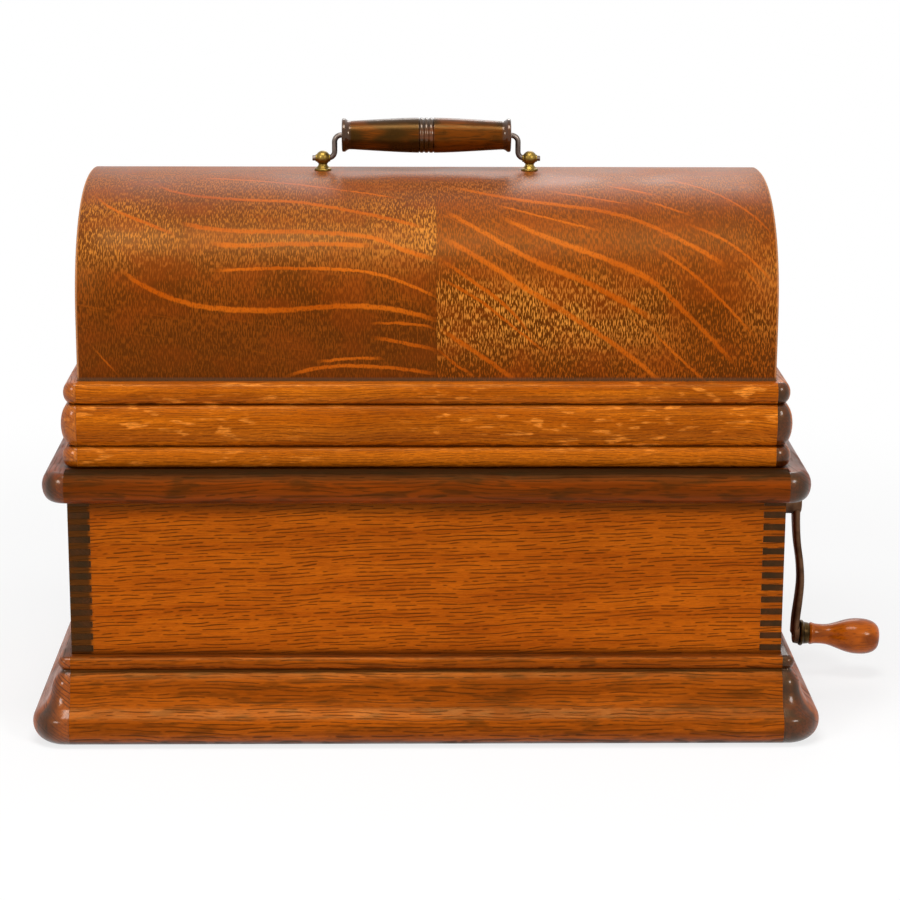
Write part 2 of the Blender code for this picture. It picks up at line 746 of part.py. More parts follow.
def make_works_leaf(name, middle, iron, works):
    """The leaf under the rim, which turns about the pin by its middle knuckle."""
    half = HINGE_LENGTH / 2
    knuckle = HINGE_LENGTH * HINGE_KNUCKLE_SHARE
    ends = (knuckle + END_GAP - half, half - knuckle - END_GAP)
    profile = [(along, HINGE_KNUCKLE_RADIUS) for along in ends]
    start = (middle, HINGE_Y, HINGE_Z)
    bore = HINGE_PIN_RADIUS + RUN_GAP
    leaf = add(name, turned(profile, start, sides=SMALL_SIDES, bore=bore), iron, works)
    top = WORKS_BOTTOM - SEAT_GAP
    outline = (
        (ends[0], HINGE_Y),
        (ends[1], HINGE_Y),
        (ends[1], HINGE_Y + HINGE_KNUCKLE_RADIUS + END_GAP),
        (half, HINGE_Y + HINGE_KNUCKLE_RADIUS + END_GAP),
        (half, HINGE_Y + 2 * HINGE_KNUCKLE_RADIUS + END_GAP),
        (-half, HINGE_Y + 2 * HINGE_KNUCKLE_RADIUS + END_GAP),
        (-half, HINGE_Y + HINGE_KNUCKLE_RADIUS + END_GAP),
        (ends[0], HINGE_Y + HINGE_KNUCKLE_RADIUS + END_GAP),
    )
    plate = [(middle + x, y) for x, y in outline]
    thickness = HINGE_KNUCKLE_RADIUS - HINGE_PIN_RADIUS - RUN_GAP
    join(leaf, prism(plate, "Z", top - thickness, top), "plate")


def make_works_board(oak, iron, works):
    board = add(
        "works_board",
        block(
            (-CASE_HALF, -CASE_HALF_DEPTH, WORKS_BOTTOM), (CASE_HALF, CASE_HALF_DEPTH, WORKS_TOP)
        ),
        oak,
        works,
    )
    half = (BEDPLATE_HALF - BEDPLATE_REST, BEDPLATE_HALF_DEPTH - BEDPLATE_REST)
    low = (-half[0], -half[1], WORKS_BOTTOM - OVERRUN)
    cut(board, block(low, (half[0], half[1], WORKS_TOP + OVERRUN)), "opening")
    levels = []
    for step in range(RIM_NOSE_STEPS + 1):
        angle = pi * step / RIM_NOSE_STEPS
        height = WORKS_BOTTOM + RIM_THICKNESS * (1 - cos(angle)) / 2
        levels.append((height, RIM_PROJECTION - RIM_NOSE_DEPTH * (1 - sin(angle))))
    inner = (CASE_HALF + SEAT_GAP, CASE_HALF_DEPTH + SEAT_GAP)
    moulded_ring("rim", levels, *inner, RIM_CORNER_RADIUS, oak, works)
    for word, side in (("left", -1), ("right", 1)):
        make_works_leaf(f"works_hinge_{word}", side * HINGE_SPACING / 2, iron, works)


def arch(half_depth, rise, spring, base):
    """The lid's end outline: upright sides under a flattened arch."""
    points = [(half_depth, base)]
    for step in range(ARCH_STEPS + 1):
        angle = pi * step / ARCH_STEPS
        across_share = abs(cos(angle)) ** (2 / LID_ARCH_POWER)
        up_share = abs(sin(angle)) ** (2 / LID_ARCH_POWER)
        side = 1 if cos(angle) > 0 else -1
        points.append((side * half_depth * across_share, spring + rise * up_share))
    points.append((-half_depth, base))
    return points


def make_lid(oak, lid):
    spring = LID_TOP - LID_ARCH_RISE
    half_depth = LID_DEPTH / 2
    outer = arch(half_depth, LID_ARCH_RISE, spring, LID_BOTTOM)
    inner = arch(half_depth - LID_WALL, LID_ARCH_RISE - LID_WALL, spring, LID_BOTTOM)
    half = LID_LENGTH / 2
    add("lid_shell", prism(outer + inner[::-1], "X", -half, half), oak, lid)
    fit = LID_WALL + SEAT_GAP
    panel = arch(half_depth - fit, LID_ARCH_RISE - fit, spring, LID_BOTTOM)
    face = half - LID_END_INSET
    for word, side in (("left", -1), ("right", 1)):
        faces = sorted((side * face, side * (face - LID_END_WALL)))
        add(f"lid_end_{word}", prism(panel, "X", *faces), oak, lid)
    levels = []
    base = LID_BOTTOM
    for height, depth, setback in REEDS:
        for step in range(REED_STEPS + 1):
            angle = pi * step / REED_STEPS
            level = base + height * (1 - cos(angle)) / 2
            shrink = setback + depth * (1 - sin(angle))
            if step or not levels:
                levels.append((level, REED_PROJECTION - shrink))
        base += height
    inner = (half + SEAT_GAP, half_depth + SEAT_GAP)
    moulded_ring("lid_moulding", levels, *inner, REED_CORNER_RADIUS, oak, lid)


def ball_profile(middle, radius, first, last, steps):
    """(along, radius) points of a ball, from where it is first wide to where it is last wide."""
    start = asin(first / radius)
    end = pi - asin(last / radius)
    angles = [start + (end - start) * step / steps for step in range(steps + 1)]
    return [(middle - radius * cos(angle), radius * sin(angle)) for angle in angles]


def make_post(name, x, brass, lid):
    """A brass ball on a flanged foot, drilled for the bail's wire."""
    profile = [
        (0.0, POST_FLANGE_RADIUS),
        (POST_FLANGE_HEIGHT, POST_FLANGE_RADIUS),
        (POST_FLANGE_HEIGHT, POST_NECK_RADIUS),
    ]
    profile += ball_profile(
        POST_HEIGHT - SEAT_GAP,
        POST_BALL_RADIUS,
        POST_NECK_RADIUS,
        POST_TIP_RADIUS,
        POST_BALL_STEPS,
    )
    foot = (x, 0, LID_TOP + SEAT_GAP)
    post = add(name, turned(profile, foot, ALONG_Z, SMALL_SIDES), brass, lid)
    reach = POST_BALL_RADIUS + OVERRUN
    bore = BAIL_WIRE_RADIUS + RUN_GAP
    cut(post, rod_along_x((0, PIVOT_Z), x - reach, x + reach, bore))


def make_handle(grip_wood, brass, steel, lid, handle, grip):
    half = POST_SPACING / 2
    make_post("handle_post_left", -half, brass, lid)
    make_post("handle_post_right", half, brass, lid)
    bend = half - BAIL_CRANK_WIDTH
    side = [(half + BAIL_TAIL, PIVOT_Z)]
    low = (bend + BAIL_BEND_RADIUS, PIVOT_Z + BAIL_BEND_RADIUS)
    high = (bend - BAIL_BEND_RADIUS, PIVOT_Z + BAIL_RISE - BAIL_BEND_RADIUS)
    side += arc(low, BAIL_BEND_RADIUS, -pi / 2, -pi, CORNER_STEPS)
    side += arc(high, BAIL_BEND_RADIUS, 0, pi / 2, CORNER_STEPS)
    path = [(x, 0, z) for x, z in side] + [(-x, 0, z) for x, z in reversed(side)]
    wire = tube(path, BAIL_WIRE_RADIUS, SMALL_SIDES, Vector((0, 1, 0)))
    add("handle_bail", wire, steel, handle)
    shares = [(-along, radius) for along, radius in reversed(GRIP_SHARES[1:])]
    shares += list(GRIP_SHARES[1:])
    profile = [(along * GRIP_LENGTH / 2, radius * GRIP_RADIUS) for along, radius in shares]
    middle = (0, 0, PIVOT_Z + BAIL_RISE)
    bore = BAIL_WIRE_RADIUS + RUN_GAP
    add("handle_grip", turned(profile, middle, bore=bore), grip_wood, grip)


def knob_centre():
    """Where the knob's pin leaves the crank arm."""
    return (CRANK_ARM_X + CRANK_TOE_OUT, 0, CRANK_HEIGHT - CRANK_THROW)


def crank_section(share):
    """The crank arm's flat section at a share of the way down it."""
    x = CRANK_ARM_X + CRANK_TOE_OUT * share + CRANK_BOW * sin(pi * share) ** 2
    z = CRANK_HEIGHT - CRANK_THROW * share
    width = CRANK_ARM_WIDTH + (CRANK_ARM_TIP_WIDTH - CRANK_ARM_WIDTH) * share
    thick = CRANK_ARM_THICKNESS / 2
    wide = width / 2
    ease = thick / 2
    outline = (
        (-thick, ease - wide),
        (ease - thick, -wide),
        (thick - ease, -wide),
        (thick, ease - wide),
        (thick, wide - ease),
        (thick - ease, wide),
        (ease - thick, wide),
        (-thick, wide - ease),
    )
    return [(x + across_x, y, z) for across_x, y in outline]


def make_crank(iron, brass, knob_wood, crank, knob):
    sections = [
        crank_section(step / (CRANK_ARM_STATIONS - 1)) for step in range(CRANK_ARM_STATIONS)
    ]
    arm = add("crank_arm", loft(sections), iron, crank)
    profile = (
        (SHANK_END, CRANK_SHANK_RADIUS),
        (CASE_HALF + CRANK_HUB_START, CRANK_SHANK_RADIUS),
        (CASE_HALF + CRANK_HUB_START, CRANK_HUB_RADIUS),
        (CRANK_ARM_X + CRANK_ARM_THICKNESS / 2, CRANK_HUB_RADIUS),
    )
    join(arm, turned(profile, (0, *WINDER)), "hub")
    pin_length = KNOB_LENGTH - FERRULE_LENGTH
    eye_half = CRANK_ARM_THICKNESS / 2
    profile = (
        (-eye_half, CRANK_EYE_RADIUS),
        (eye_half, CRANK_EYE_RADIUS),
        (eye_half, CRANK_PIN_RADIUS),
        (pin_length, CRANK_PIN_RADIUS),
    )
    join(arm, turned(profile, knob_centre(), KNOB_AXIS), "eye")
    start = eye_half + SEAT_GAP
    bore = CRANK_PIN_RADIUS + RUN_GAP
    profile = (
        (start, FERRULE_RADIUS),
        (start + FERRULE_LENGTH / 2, FERRULE_RADIUS),
        (start + FERRULE_LENGTH, FERRULE_LIP_RADIUS),
    )
    add("crank_ferrule", turned(profile, knob_centre(), KNOB_AXIS, bore=bore), brass, knob)
    start += FERRULE_LENGTH + SEAT_GAP
    profile = [(pin_length + END_GAP, bore), (start, bore)]
    profile += [
        (start + along * (KNOB_LENGTH - FERRULE_LENGTH), radius * KNOB_RADIUS)
        for along, radius in KNOB_SHARES
    ]
    add("crank_knob", turned(profile, knob_centre(), KNOB_AXIS), knob_wood, knob)


def revolved(profile, start, direction=ALONG_X, sides=ROUND_SIDES):
    """A round piece from the closed outline of its wall, in (distance along, radius)."""
    start = Vector(start)
    rings = [ring_at(start, direction, along, radius, sides) for along, radius in profile]
    return loft(rings, closed=True)


def shaft_between_frames(shaft, low, high, radius, journal):
    """A shaft with thinner journals, shouldered just inside the two motor frames."""
    shoulder = FRAME_INNER - END_GAP
    profile = (
        (low, journal),
        (-shoulder, journal),
        (-shoulder, radius),
        (shoulder, radius),
        (shoulder, journal),
        (high, journal),
    )
    return turned(profile, (0, *shaft), sides=SMALL_SIDES)


def make_motor_frames(iron, works):
    """Two plates hanging from the bedplate, drilled for the motor's shafts."""
    top = BEDPLATE_BOTTOM - SEAT_GAP
    outline = (
        (FRAME_FRONT, top),
        (FRAME_FRONT, FRAME_BOTTOM + FRAME_CHAMFER),
        (FRAME_FRONT + FRAME_CHAMFER, FRAME_BOTTOM),
        (FRAME_BACK - FRAME_CHAMFER, FRAME_BOTTOM),
        (FRAME_BACK, FRAME_BOTTOM + FRAME_CHAMFER),
        (FRAME_BACK, top),
    )
    speed_screw = (GOVERNOR[0], GOVERNOR[1] - SPEED_SCREW_OFFSET)
    bearings = {
        "left": (
            (BARREL, ARBOR_JOURNAL_RADIUS),
            (SECOND, JOURNAL_RADIUS),
            (DRIVE, JOURNAL_RADIUS),
            (GOVERNOR, JOURNAL_RADIUS),
            (speed_screw, SPEED_SCREW_RADIUS),
        ),
        "right": (
            (BARREL, ARBOR_JOURNAL_RADIUS),
            (SECOND, JOURNAL_RADIUS),
            (DRIVE, JOURNAL_RADIUS),
            (GOVERNOR, JOURNAL_RADIUS),
            (WINDER, WINDER_SHAFT_RADIUS),
        ),
    }
    for word, side in (("left", -1), ("right", 1)):
        low, high = sorted((side * FRAME_INNER, side * FRAME_OUTER))
        frame = add(f"motor_frame_{word}", prism(outline, "X", low, high), iron, works)
        flange = sorted((side * FRAME_INNER, side * (FRAME_OUTER + FRAME_FLANGE)))
        join(
            frame,
            block(
                (flange[0], FRAME_FRONT, top - FRAME_THICKNESS), (flange[1], FRAME_BACK, top)
            ),
            "flange",
        )
        holes = [
            rod_along_x(shaft, low - OVERRUN, high + OVERRUN, radius + RUN_GAP)
            for shaft, radius in bearings[word]
        ]
        cut(frame, together(holes), "bearings")
        if side > 0:
            end = FRAME_OUTER + RATCHET_WIDTH + 2 * END_GAP
            join(frame, rod_along_x(PAWL, FRAME_INNER, end, PAWL_PIN_RADIUS), "pawl_pin")


def make_winding_shaft(steel, winder):
    start = WIND_GEAR_START - END_GAP
    pinion = gear(
        WIND_PINION_TEETH,
        WIND_MODULE,
        WINDER,
        BARREL_FROM_WINDER,
        start,
        WIND_GEAR_WIDTH + 2 * END_GAP,
    )
    shaft = add("winding_shaft", pinion, steel, winder)
    end = SHANK_END - END_GAP
    join(shaft, rod_along_x(WINDER, WINDER_START, end, WINDER_SHAFT_RADIUS), "shaft")


def ratchet_outline():
    points = []
    for tooth in range(RATCHET_TEETH):
        for radius, share in ((RATCHET_RADIUS, 0.0), (RATCHET_RADIUS - RATCHET_DEPTH, 0.94)):
            angle = 2 * pi * (tooth + share) / RATCHET_TEETH
            points.append((BARREL[0] + radius * cos(angle), BARREL[1] + radius * sin(angle)))
    return points


def make_arbor(steel, arbor):
    """The spring's arbor with its ratchet and the winding gear outside the right frame."""
    end = WIND_GEAR_START + WIND_GEAR_WIDTH + ARBOR_TAIL
    bar = add(
        "spring_arbor",
        shaft_between_frames(
            BARREL, -FRAME_OUTER - END_GAP, end, ARBOR_RADIUS, ARBOR_JOURNAL_RADIUS
        ),
        steel,
        arbor,
    )
    start = FRAME_OUTER + END_GAP
    join(bar, prism(ratchet_outline(), "X", start, start + RATCHET_WIDTH), "ratchet")
    phase = gap_phase(WIND_GEAR_TEETH, BARREL_FROM_WINDER)
    wheel = gear(WIND_GEAR_TEETH, WIND_MODULE, BARREL, phase, WIND_GEAR_START, WIND_GEAR_WIDTH)
    join(bar, wheel, "winding_gear")


def make_pawl(steel, pawl):
    """The click that stops the ratchet from turning back, with its tip beside the teeth."""
    tip = step_from(BARREL, RATCHET_RADIUS + 2 * END_GAP, PAWL_TIP_DIRECTION)
    heading = Vector((tip[0] - PAWL[0], tip[1] - PAWL[1])).normalized()
    outward = Vector((-heading.y, heading.x))
    turn = atan2(heading.y, heading.x)
    outline = arc(PAWL, PAWL_BOSS_RADIUS, turn + pi / 2, turn + 3 * pi / 2, SMALL_SIDES // 2)
    outline.append(tuple(tip))
    outline.append((tip[0] + outward.x * PAWL_TIP_WIDTH, tip[1] + outward.y * PAWL_TIP_WIDTH))
    low = FRAME_OUTER + END_GAP
    high = low + RATCHET_WIDTH
    click = add("ratchet_pawl", prism(outline, "X", low, high), steel, pawl)
    bore = PAWL_PIN_RADIUS + RUN_GAP
    cut(click, rod_along_x(PAWL, low - OVERRUN, high + OVERRUN, bore))


def make_barrel(brass, steel, barrel):
    """The spring drum, the great gear that closes it, and the mainspring wound inside it."""
    bore = ARBOR_RADIUS + RUN_GAP
    profile = (
        (0.0, bore),
        (0.0, BARREL_RADIUS),
        (BARREL_LENGTH, BARREL_RADIUS),
        (BARREL_LENGTH, BARREL_RADIUS - BARREL_WALL),
        (BARREL_WALL, BARREL_RADIUS - BARREL_WALL),
        (BARREL_WALL, bore),
    )
    start = (BARREL_START, *BARREL)
    add("spring_barrel", revolved(profile, start, sides=WHEEL_SIDES), brass, barrel)
    gear_start = BARREL_START + BARREL_LENGTH + SEAT_GAP
    wheel = add(
        "great_gear",
        gear(
            GREAT_GEAR_TEETH,
            GREAT_MODULE,
            BARREL,
            SECOND_FROM_BARREL,
            gear_start,
            GREAT_GEAR_WIDTH,
        ),
        brass,
        barrel,
    )
    end = gear_start + GREAT_GEAR_WIDTH + OVERRUN
    cut(wheel, rod_along_x(BARREL, gear_start - OVERRUN, end, bore, WHEEL_SIDES))
    inner = ARBOR_RADIUS + SPRING_INNER_GAP
    outer = BARREL_RADIUS - BARREL_WALL - SPRING_OUTER_GAP - SPRING_THICKNESS
    coil = []
    back = []
    for step in range(SPRING_TURNS * SPRING_STEPS + 1):
        share = step / (SPRING_TURNS * SPRING_STEPS)
        radius = inner + (outer - inner) * share
        angle = 2 * pi * SPRING_TURNS * share
        coil.append(step_from(BARREL, radius, angle))
        back.append(step_from(BARREL, radius + SPRING_THICKNESS, angle))
    low = BARREL_START + BARREL_WALL + SPRING_SIDE_GAP
    high = BARREL_START + BARREL_LENGTH - SPRING_SIDE_GAP
    add("mainspring", prism(coil + back[::-1], "X", low, high), steel, barrel)


def make_second_shaft(steel, second):
    """The shaft that the great gear turns by its pinion, with the second gear on it."""
    end = FRAME_OUTER + END_GAP
    bar = rod_along_x(SECOND, -end, end, JOURNAL_RADIUS)
    shaft = add("second_shaft", bar, steel, second)
    wheel = gear(
        SECOND_GEAR_TEETH,
        SECOND_MODULE,
        SECOND,
        DRIVE_FROM_SECOND,
        SECOND_GEAR_START,
        SECOND_GEAR_WIDTH,
    )
    join(shaft, wheel, "gear")
    pinion = gear(
        GREAT_PINION_TEETH,
        GREAT_MODULE,
        SECOND,
        gap_phase(GREAT_PINION_TEETH, SECOND_FROM_BARREL),
        SECOND_PINION_START,
        SECOND_PINION_WIDTH,
    )
    join(shaft, pinion, "pinion")


def pulley_profile(radius):
    half = PULLEY_WIDTH / 2
    lip = half - PULLEY_LIP
    groove = radius - PULLEY_GROOVE
    return (
        (-half, radius),
        (-lip, radius),
        (-lip, groove),
        (lip, groove),
        (lip, radius),
        (half, radius),
    )


def make_drive_shaft(steel, drive):
    """The shaft that carries the belt pulley outside the left motor frame."""
    low = MANDREL_PULLEY_X - PULLEY_WIDTH / 2 - END_GAP
    shaft = add(
        "drive_shaft",
        rod_along_x(DRIVE, low, FRAME_OUTER + END_GAP, JOURNAL_RADIUS),
        steel,
        drive,
    )
    pinion = gear(
        SECOND_PINION_TEETH,
        SECOND_MODULE,
        DRIVE,
        gap_phase(SECOND_PINION_TEETH, DRIVE_FROM_SECOND),
        SECOND_GEAR_START - (DRIVE_PINION_WIDTH - SECOND_GEAR_WIDTH) / 2,
        DRIVE_PINION_WIDTH,
    )
    join(shaft, pinion, "pinion")
    wheel = gear(
        GOVERNOR_GEAR_TEETH,
        GOVERNOR_MODULE,
        DRIVE,
        GOVERNOR_FROM_DRIVE,
        DRIVE_GEAR_START,
        DRIVE_GEAR_WIDTH,
    )
    join(shaft, wheel, "gear")
    place = (MANDREL_PULLEY_X, *DRIVE)
    join(shaft, turned(pulley_profile(DRIVE_PULLEY_RADIUS), place), "pulley")


def belt_outline(extra):
    """The belt's line round both pulleys, this far outside their grooves."""
    small = DRIVE_PULLEY_RADIUS - PULLEY_GROOVE + extra
    large = MANDREL_PULLEY_RADIUS - PULLEY_GROOVE + extra
    span = Vector((MANDREL[0] - DRIVE[0], MANDREL[1] - DRIVE[1]))
    heading = atan2(span.y, span.x)
    wrap = pi / 2 + asin((large - small) / span.length)
    points = arc(MANDREL, large, heading - wrap, heading + wrap, BELT_STEPS)
    return points + arc(DRIVE, small, heading + wrap, heading + 2 * pi - wrap, BELT_STEPS)


def make_belt(leather, works):
    inner = belt_outline(SEAT_GAP)
    outer = belt_outline(SEAT_GAP + BELT_THICKNESS)
    low = MANDREL_PULLEY_X - BELT_WIDTH / 2
    high = MANDREL_PULLEY_X + BELT_WIDTH / 2
    rings = [
        [across("X", along, pair) for pair in outline]
        for along, outline in ((low, inner), (low, outer), (high, outer), (high, inner))
    ]
    add("belt", loft(rings, closed=True), leather, works)


def make_governor(steel, brass, iron, governor):
    """The spindle, the three sprung weights between two collars, and the friction disc."""
    end = FRAME_OUTER + END_GAP
    spindle = add(
        "governor_spindle",
        rod_along_x(GOVERNOR, -end, end, JOURNAL_RADIUS),
        steel,
        governor,
    )
    pinion = gear(
        GOVERNOR_PINION_TEETH,
        GOVERNOR_MODULE,
        GOVERNOR,
        gap_phase(GOVERNOR_PINION_TEETH, GOVERNOR_FROM_DRIVE),
        DRIVE_GEAR_START - END_GAP,
        DRIVE_GEAR_WIDTH + 2 * END_GAP,
    )
    join(spindle, pinion, "pinion")
    bore = JOURNAL_RADIUS + RUN_GAP
    low = GOVERNOR_CAGE_START
    high = GOVERNOR_CAGE_START + GOVERNOR_CAGE_LENGTH
    collars = []
    for start in (low, high - GOVERNOR_COLLAR_LENGTH):
        profile = (
            (start, GOVERNOR_COLLAR_RADIUS),
            (start + GOVERNOR_COLLAR_LENGTH, GOVERNOR_COLLAR_RADIUS),
        )
        collars.append(turned(profile, (0, *GOVERNOR), sides=SMALL_SIDES, bore=bore))
    cage = add("governor_weights", collars[0], brass, governor)
    middle = (low + high) / 2
    leaf_radius = GOVERNOR_COLLAR_RADIUS - GOVERNOR_SPRING_RADIUS / 2
    leaves = []
    weights = []
    for index in range(GOVERNOR_WEIGHTS):
        angle = 2 * pi * index / GOVERNOR_WEIGHTS
        outward = Vector((0, cos(angle), sin(angle)))
        axis = Vector((0, *GOVERNOR))
        path = []
        for x, reach in (
            (low + GOVERNOR_COLLAR_LENGTH / 2, leaf_radius),
            (low + GOVERNOR_COLLAR_LENGTH, leaf_radius),
            (middle, GOVERNOR_WEIGHT_REACH),
            (high - GOVERNOR_COLLAR_LENGTH, leaf_radius),
            (high - GOVERNOR_COLLAR_LENGTH / 2, leaf_radius),
        ):
            path.append(axis + Vector((x, 0, 0)) + reach * outward)
        leaves.append(tube(path, GOVERNOR_SPRING_RADIUS, LEAF_SIDES, outward.cross(ALONG_X)))
        half = GOVERNOR_WEIGHT_RADIUS
        profile = ((-half, half), (half, half))
        place = axis + Vector((middle, 0, 0)) + GOVERNOR_WEIGHT_REACH * outward
        weights.append(turned(profile, place, sides=SMALL_SIDES))
    join(cage, together(leaves), "springs")
    join(cage, together(weights), "weights")
    join(cage, collars[1], "collar")
    disc_end = GOVERNOR_DISC_X + GOVERNOR_DISC_THICKNESS
    profile = (
        (GOVERNOR_DISC_X, GOVERNOR_DISC_RADIUS),
        (disc_end, GOVERNOR_DISC_RADIUS),
        (disc_end, GOVERNOR_COLLAR_RADIUS),
        (low - SEAT_GAP, GOVERNOR_COLLAR_RADIUS),
    )
    add("governor_disc", turned(profile, (0, *GOVERNOR), bore=bore), iron, governor)


def make_speed_screw(steel, screw):
    """The thumb screw through the left motor frame, which limits the governor disc."""
    tip = GOVERNOR_DISC_X - END_GAP
    head = -FRAME_OUTER - SPEED_SCREW_TAIL
    profile = (
        (head - SPEED_SCREW_HEAD_LENGTH, SPEED_SCREW_HEAD_RADIUS),
        (head, SPEED_SCREW_HEAD_RADIUS),
        (head, SPEED_SCREW_RADIUS),
        (tip, SPEED_SCREW_RADIUS),
    )
    place = (0, GOVERNOR[0], GOVERNOR[1] - SPEED_SCREW_OFFSET)
    add("speed_screw", turned(profile, place, sides=SMALL_SIDES), steel, screw)


def bar_outline(start, end, width):
    """A straight bar of this width from one point to another, in plan."""
    heading = Vector((end[0] - start[0], end[1] - start[1])).normalized()
    side = Vector((-heading.y, heading.x)) * width / 2
    return (
        (start[0] - side.x, start[1] - side.y),
        (end[0] - side.x, end[1] - side.y),
        (end[0] + side.x, end[1] + side.y),
        (start[0] + side.x, start[1] + side.y),
    )


def make_start_lever(steel, lever):
    """The lever on the bedplate whose spindle carries the brake finger down to the governor."""
    place = (START_LEVER_X, START_LEVER_Y)
    bottom = GOVERNOR[1] - BRAKE_FINGER_WIDTH
    top = BEDPLATE_TOP + SEAT_GAP + START_LEVER_THICKNESS
    profile = ((0.0, START_LEVER_RADIUS), (top - bottom, START_LEVER_RADIUS))
    spindle = turned(profile, (*place, bottom), ALONG_Z, SMALL_SIDES)
    node = add("start_lever", spindle, steel, lever)
    end = (START_LEVER_X + START_LEVER_ARM, START_LEVER_Y)
    low = (START_LEVER_X - START_LEVER_WIDTH / 2, START_LEVER_Y)
    arm = prism(bar_outline(low, end, START_LEVER_WIDTH), "Z", top - START_LEVER_THICKNESS, top)
    join(node, arm, "arm")
    profile = (
        (0.0, START_LEVER_KNOB_RADIUS),
        (START_LEVER_KNOB_HEIGHT, START_LEVER_KNOB_RADIUS),
    )
    knob_x = end[0] - START_LEVER_KNOB_RADIUS
    base = top - START_LEVER_THICKNESS / 2
    join(node, turned(profile, (knob_x, end[1], base), ALONG_Z, SMALL_SIDES), "knob")
    pad = (
        GOVERNOR_DISC_X - END_GAP - BRAKE_FINGER_WIDTH / 2,
        GOVERNOR[0] - BRAKE_PAD_OFFSET,
    )
    finger = bar_outline(place, pad, BRAKE_FINGER_WIDTH)
    join(node, prism(finger, "Z", bottom, bottom + 2 * BRAKE_FINGER_WIDTH), "finger")


def stand(shaft, eye_radius, foot_half, foot, middle, thickness):
    """An upright bearing stand, seen along X as a round eye on a spreading foot."""
    outline = [(shaft[0] + foot_half, foot)]
    outline += arc(shaft, eye_radius, 0, pi, SMALL_SIDES)
    outline.append((shaft[0] - foot_half, foot))
    return prism(outline, "X", middle - thickness / 2, middle + thickness / 2)


def rail_post(middle, foot):
    """A tapered post under one end of the front rail."""
    top = FRONT_RAIL_TOP - FRONT_RAIL_HEIGHT - SEAT_GAP
    outline = (
        (FRONT_RAIL_Y - RAIL_POST_WIDTH / 2, foot),
        (FRONT_RAIL_Y + RAIL_POST_WIDTH / 2, foot),
        (FRONT_RAIL_Y + RAIL_POST_TOP_WIDTH / 2, top),
        (FRONT_RAIL_Y - RAIL_POST_TOP_WIDTH / 2, top),
    )
    return prism(outline, "X", middle - STAND_THICKNESS / 2, middle + STAND_THICKNESS / 2)


def make_bedplate(iron, works):
    """The cast plate with its bearing stands, the gate's post and the winding shaft's lug."""
    half = (BEDPLATE_HALF, BEDPLATE_HALF_DEPTH)
    plate = block((-half[0], -half[1], BEDPLATE_BOTTOM), (half[0], half[1], BEDPLATE_TOP))
    node = add("bedplate", plate, iron, works)
    foot = BEDPLATE_BOTTOM + BEDPLATE_THICKNESS / 2
    wide = STAND_WIDTH / 2
    post_profile = (
        (foot, GATE_PIVOT_RADIUS),
        (MANDREL_Z - GATE_HEIGHT / 2 - SEAT_GAP, GATE_PIVOT_RADIUS),
        (MANDREL_Z - GATE_HEIGHT / 2 - SEAT_GAP, GATE_PIN_RADIUS),
        (MANDREL_Z + GATE_HEIGHT / 2 + END_GAP, GATE_PIN_RADIUS),
    )
    stands = [
        stand(MANDREL, STAND_EYE_RADIUS, wide, foot, LEFT_STAND_X, STAND_THICKNESS),
        stand(MANDREL, STAND_EYE_RADIUS, wide, foot, CENTRE_STAND_X, STAND_THICKNESS),
        stand(ROD, ROD_EYE_RADIUS, wide, foot, LEFT_STAND_X, STAND_THICKNESS),
        stand(ROD, ROD_EYE_RADIUS, wide, foot, RIGHT_STAND_X, STAND_THICKNESS),
        rail_post(LEFT_STAND_X, foot),
        rail_post(RIGHT_STAND_X + FRONT_RAIL_OVERHANG - STAND_THICKNESS / 2, foot),
        turned(post_profile, (RIGHT_STAND_X, GATE_PIVOT_Y, 0), ALONG_Z, SMALL_SIDES),
        lug_below(foot),
    ]
    join(node, together(stands), "stands")
    over = STAND_THICKNESS / 2 + OVERRUN
    holes = [
        rod_along_x(shaft, middle - over, middle + over, radius, ROUND_SIDES)
        for shaft, middle, radius in (
            (MANDREL, LEFT_STAND_X, MANDREL_SHAFT_RADIUS + RUN_GAP),
            (MANDREL, CENTRE_STAND_X, MANDREL_SHAFT_RADIUS + RUN_GAP),
            (ROD, LEFT_STAND_X, ROD_RADIUS + SEAT_GAP),
            (ROD, RIGHT_STAND_X, ROD_RADIUS + SEAT_GAP),
            (WINDER, WINDER_LUG_X, WINDER_SHAFT_RADIUS + RUN_GAP),
        )
    ]
    low = BEDPLATE_BOTTOM - OVERRUN
    high = BEDPLATE_TOP + OVERRUN
    profile = ((low, START_LEVER_RADIUS + RUN_GAP), (high, START_LEVER_RADIUS + RUN_GAP))
    holes.append(turned(profile, (START_LEVER_X, START_LEVER_Y, 0), ALONG_Z, SMALL_SIDES))
    slot = MANDREL_PULLEY_RADIUS + BELT_SLOT_MARGIN
    holes.append(
        block(
            (MANDREL_PULLEY_X - BELT_SLOT_WIDTH / 2, MANDREL_Y - slot, low),
            (MANDREL_PULLEY_X + BELT_SLOT_WIDTH / 2, MANDREL_Y + slot, high),
        )
    )
    cut(node, together(holes), "holes")


def lug_below(top):
    """The lug under the bedplate that steadies the winding shaft's outer end."""
    outline = [(WINDER[0] - WINDER_LUG_RADIUS, top)]
    outline += arc(WINDER, WINDER_LUG_RADIUS, pi, 2 * pi, SMALL_SIDES)
    outline.append((WINDER[0] + WINDER_LUG_RADIUS, top))
    low = WINDER_LUG_X - WINDER_LUG_THICKNESS / 2
    return prism(outline, "X", low, low + WINDER_LUG_THICKNESS)


